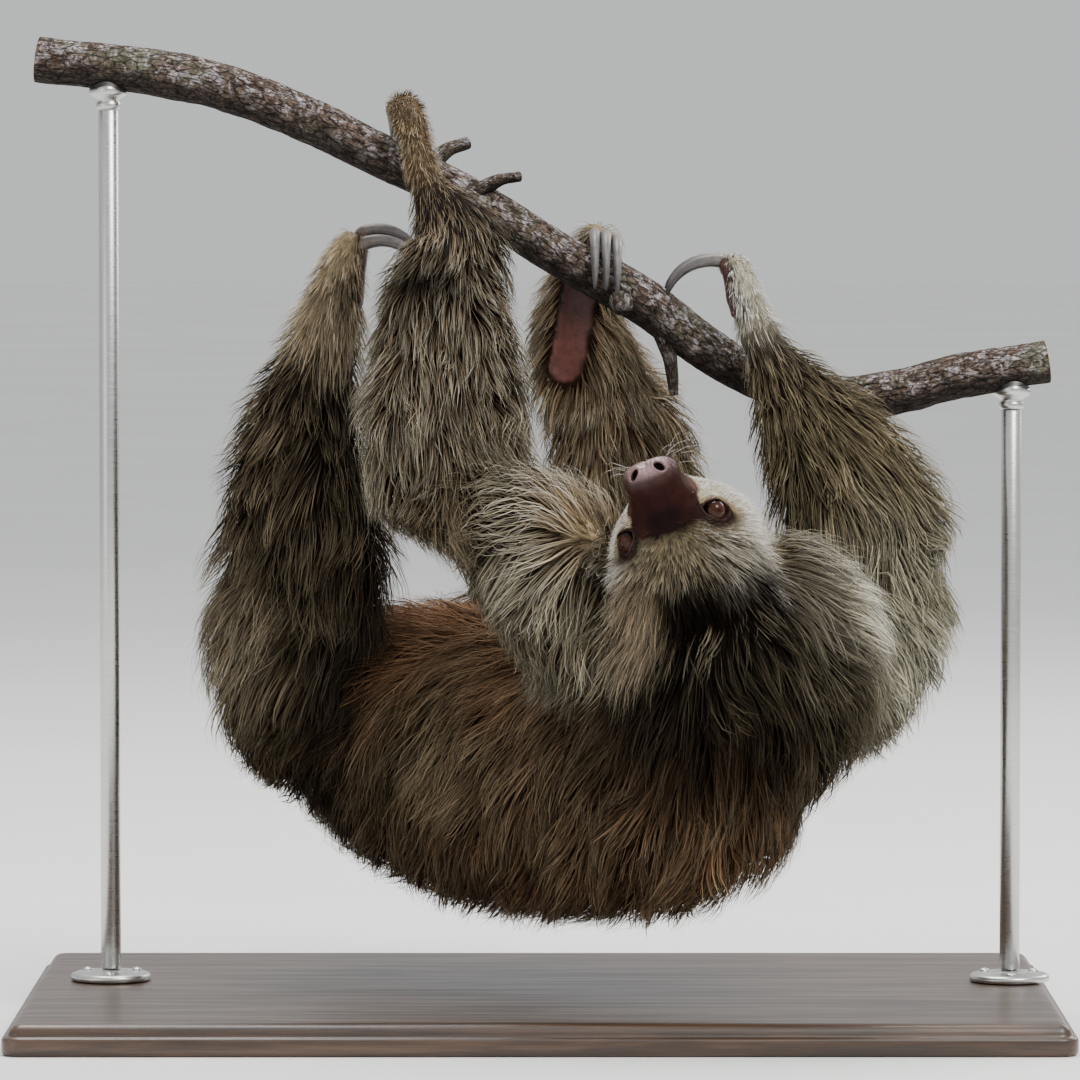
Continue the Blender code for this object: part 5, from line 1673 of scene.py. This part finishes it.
def make_camera():
    """The camera, a little above level and far off, aimed at the middle of the animal."""
    lens = bpy.data.cameras.new("camera")
    lens.sensor_width, lens.lens = 36.0, CAMERA_LENS
    lens.clip_end = 100.0
    back = Vector((0, -math.cos(CAMERA_HEIGHT_ANGLE), math.sin(CAMERA_HEIGHT_ANGLE)))
    made = new_object("camera", lens)
    aim(made, CAMERA_AIM + back * CAMERA_DISTANCE, -back)
    bpy.context.scene.camera = made


# ------------ settings, operators and panel
def colour_setting(name, description, default):
    """A linear colour in the panel."""
    return FloatVectorProperty(name=name, description=description, default=default, size=3, min=0.0, max=1.0,
                               subtype="COLOR")


class SlothStage(bpy.types.PropertyGroup):
    """The floor and the light."""

    floor_colour: colour_setting("Floor colour", "Colour of the plain floor", (0.84, 0.84, 0.83))
    sky_colour: colour_setting("Sky colour", "Colour of the even light from all round", (0.97, 0.985, 1.0))
    sky: FloatProperty(name="Sky", description="Strength of the light from all round", default=0.80, min=0.0)
    light: FloatProperty(name="Lamps", description="Strength of the lamps, as a factor", default=1.0, min=0.0,
                         subtype="FACTOR", soft_max=3.0)


class SlothStand(bpy.types.PropertyGroup):
    """The display stand."""

    wood_colour: colour_setting("Board colour", "Stain of the base", (0.085, 0.046, 0.026))
    rod_radius: FloatProperty(name="Rod radius", description="Radius of both rods, up to that of the frame",
                              default=0.0065, min=0.003, max=0.0065, unit="LENGTH")


class SlothBranch(bpy.types.PropertyGroup):
    """The cut branch."""

    bark_colour: colour_setting("Bark colour", "Colour of the bark's ridges", (0.135, 0.092, 0.068))
    moss_colour: colour_setting("Moss colour", "Colour of the thin moss on it", (0.100, 0.102, 0.066))
    lichen_colour: colour_setting("Lichen colour", "Colour of the pale lichen", (0.34, 0.31, 0.31))
    relief: FloatProperty(name="Relief", description="Height of the bark's ridges", default=0.0016, min=0.0,
                          max=0.003, unit="LENGTH")


class SlothBody(bpy.types.PropertyGroup):
    """Bare skin, claws and eyes."""

    muzzle_colour: colour_setting("Muzzle colour", "Colour of the bare muzzle", (0.017, 0.0036, 0.0027))
    sole_colour: colour_setting("Sole colour", "Colour of the bare soles and palms", (0.170, 0.055, 0.044))
    claw_colour: colour_setting("Claw colour", "Colour of the claws' horn", (0.145, 0.135, 0.130))
    iris_colour: colour_setting("Iris colour", "Colour of the irises", (0.046, 0.0145, 0.0065))


class SlothCoat(bpy.types.PropertyGroup):
    """The coat."""

    density: FloatProperty(name="Density", description="Number of tufts, as a factor", default=1.0, min=0.05,
                           max=1.5, subtype="FACTOR")
    length: FloatProperty(name="Length", description="Length of the tufts, as a factor", default=1.0, min=0.3,
                          max=1.2, subtype="FACTOR")
    width: FloatProperty(name="Tuft half width", description="Half width of the widest tufts", default=0.0008,
                         min=0.0002, max=0.002, precision=5, unit="LENGTH")
    belly_colour: colour_setting("Belly colour", "Rust tone of the belly", TONES["rust"])
    flank_colour: colour_setting("Flank colour", "Brown tone of the flanks", TONES["brown"])
    limb_colour: colour_setting("Limb colour", "Buff tone of the limbs", TONES["buff"])
    cheek_colour: colour_setting("Cheek colour", "Cream tone of the cheeks", TONES["cream"])


class SLOTH_OT_stage(bpy.types.Operator):
    """Makes the floor, the lights and the camera"""

    bl_idname = "sloth.make_stage"
    bl_label = "Stage"

    def execute(self, context):
        make_floor()
        make_lights()
        make_camera()
        return {"FINISHED"}


class SLOTH_OT_stand(bpy.types.Operator):
    """Makes the board, the rods and the cradles of the display stand"""

    bl_idname = "sloth.make_stand"
    bl_label = "Stand"

    def execute(self, context):
        make_board()
        make_rods()
        return {"FINISHED"}


class SLOTH_OT_branch(bpy.types.Operator):
    """Makes the cut branch with its bark and twigs"""

    bl_idname = "sloth.make_branch"
    bl_label = "Branch"

    def execute(self, context):
        make_branch()
        return {"FINISHED"}


class SLOTH_OT_skin(bpy.types.Operator):
    """Makes the skin of the body and head"""

    bl_idname = "sloth.make_skin"
    bl_label = "Skin"

    def execute(self, context):
        make_skin()
        return {"FINISHED"}


class SLOTH_OT_eyes(bpy.types.Operator):
    """Makes both eyes"""

    bl_idname = "sloth.make_eyes"
    bl_label = "Eyes"

    def execute(self, context):
        make_eye(-1, "eyeball_left", "eye_left")
        make_eye(1, "eyeball_right", "eye_right")
        return {"FINISHED"}


class SLOTH_OT_claws(bpy.types.Operator):
    """Makes the two claws of each hand and the three of each foot"""

    bl_idname = "sloth.make_claws"
    bl_label = "Claws"

    def execute(self, context):
        for paw, (start, heading, bend, turn) in CLAWS.items():
            for i, shift in enumerate(CLAW_SPREAD[paw], 1):
                make_claw(f"horn_{paw}_{i}", f"claw_{paw}_{i}", np.add(start, shift), heading, bend, turn)
        return {"FINISHED"}


class SLOTH_OT_coat(bpy.types.Operator):
    """Makes the coat, part by part, and the whiskers"""

    bl_idname = "sloth.make_coat"
    bl_label = "Coat"

    def execute(self, context):
        for part in PARTS:
            make_part_coat(part)
        make_head_coat()
        make_whiskers()
        return {"FINISHED"}


SETTINGS = {"sloth_stage": SlothStage, "sloth_stand": SlothStand, "sloth_branch": SlothBranch,
            "sloth_body": SlothBody, "sloth_coat": SlothCoat}
OPERATORS = [SLOTH_OT_stage, SLOTH_OT_stand, SLOTH_OT_branch, SLOTH_OT_skin, SLOTH_OT_eyes, SLOTH_OT_claws,
             SLOTH_OT_coat]


class SLOTH_PT_panel(bpy.types.Panel):
    """Settings and buttons for each group of pieces"""

    bl_idname = "SLOTH_PT_panel"
    bl_label = "Two-Toed Sloth"
    bl_space_type = "VIEW_3D"
    bl_region_type = "UI"
    bl_category = "Sloth"

    def draw(self, context):
        for group, kind in SETTINGS.items():
            box = self.layout.box()
            for setting in kind.__annotations__:
                box.prop(getattr(context.scene, group), setting)
        for operator in OPERATORS:
            self.layout.operator(operator.bl_idname)


def register():
    for kind in (*SETTINGS.values(), *OPERATORS, SLOTH_PT_panel):
        bpy.utils.register_class(kind)
    for group, kind in SETTINGS.items():
        setattr(bpy.types.Scene, group, PointerProperty(type=kind))


def unregister():
    for group in SETTINGS:
        delattr(bpy.types.Scene, group)
    for kind in reversed((*SETTINGS.values(), *OPERATORS, SLOTH_PT_panel)):
        bpy.utils.unregister_class(kind)


def main():
    """Makes every piece in order."""
    register()
    bpy.ops.sloth.make_stage()
    bpy.ops.sloth.make_stand()
    bpy.ops.sloth.make_branch()
    bpy.ops.sloth.make_skin()
    bpy.ops.sloth.make_eyes()
    bpy.ops.sloth.make_claws()
    bpy.ops.sloth.make_coat()


if __name__ == "__main__":
    main()
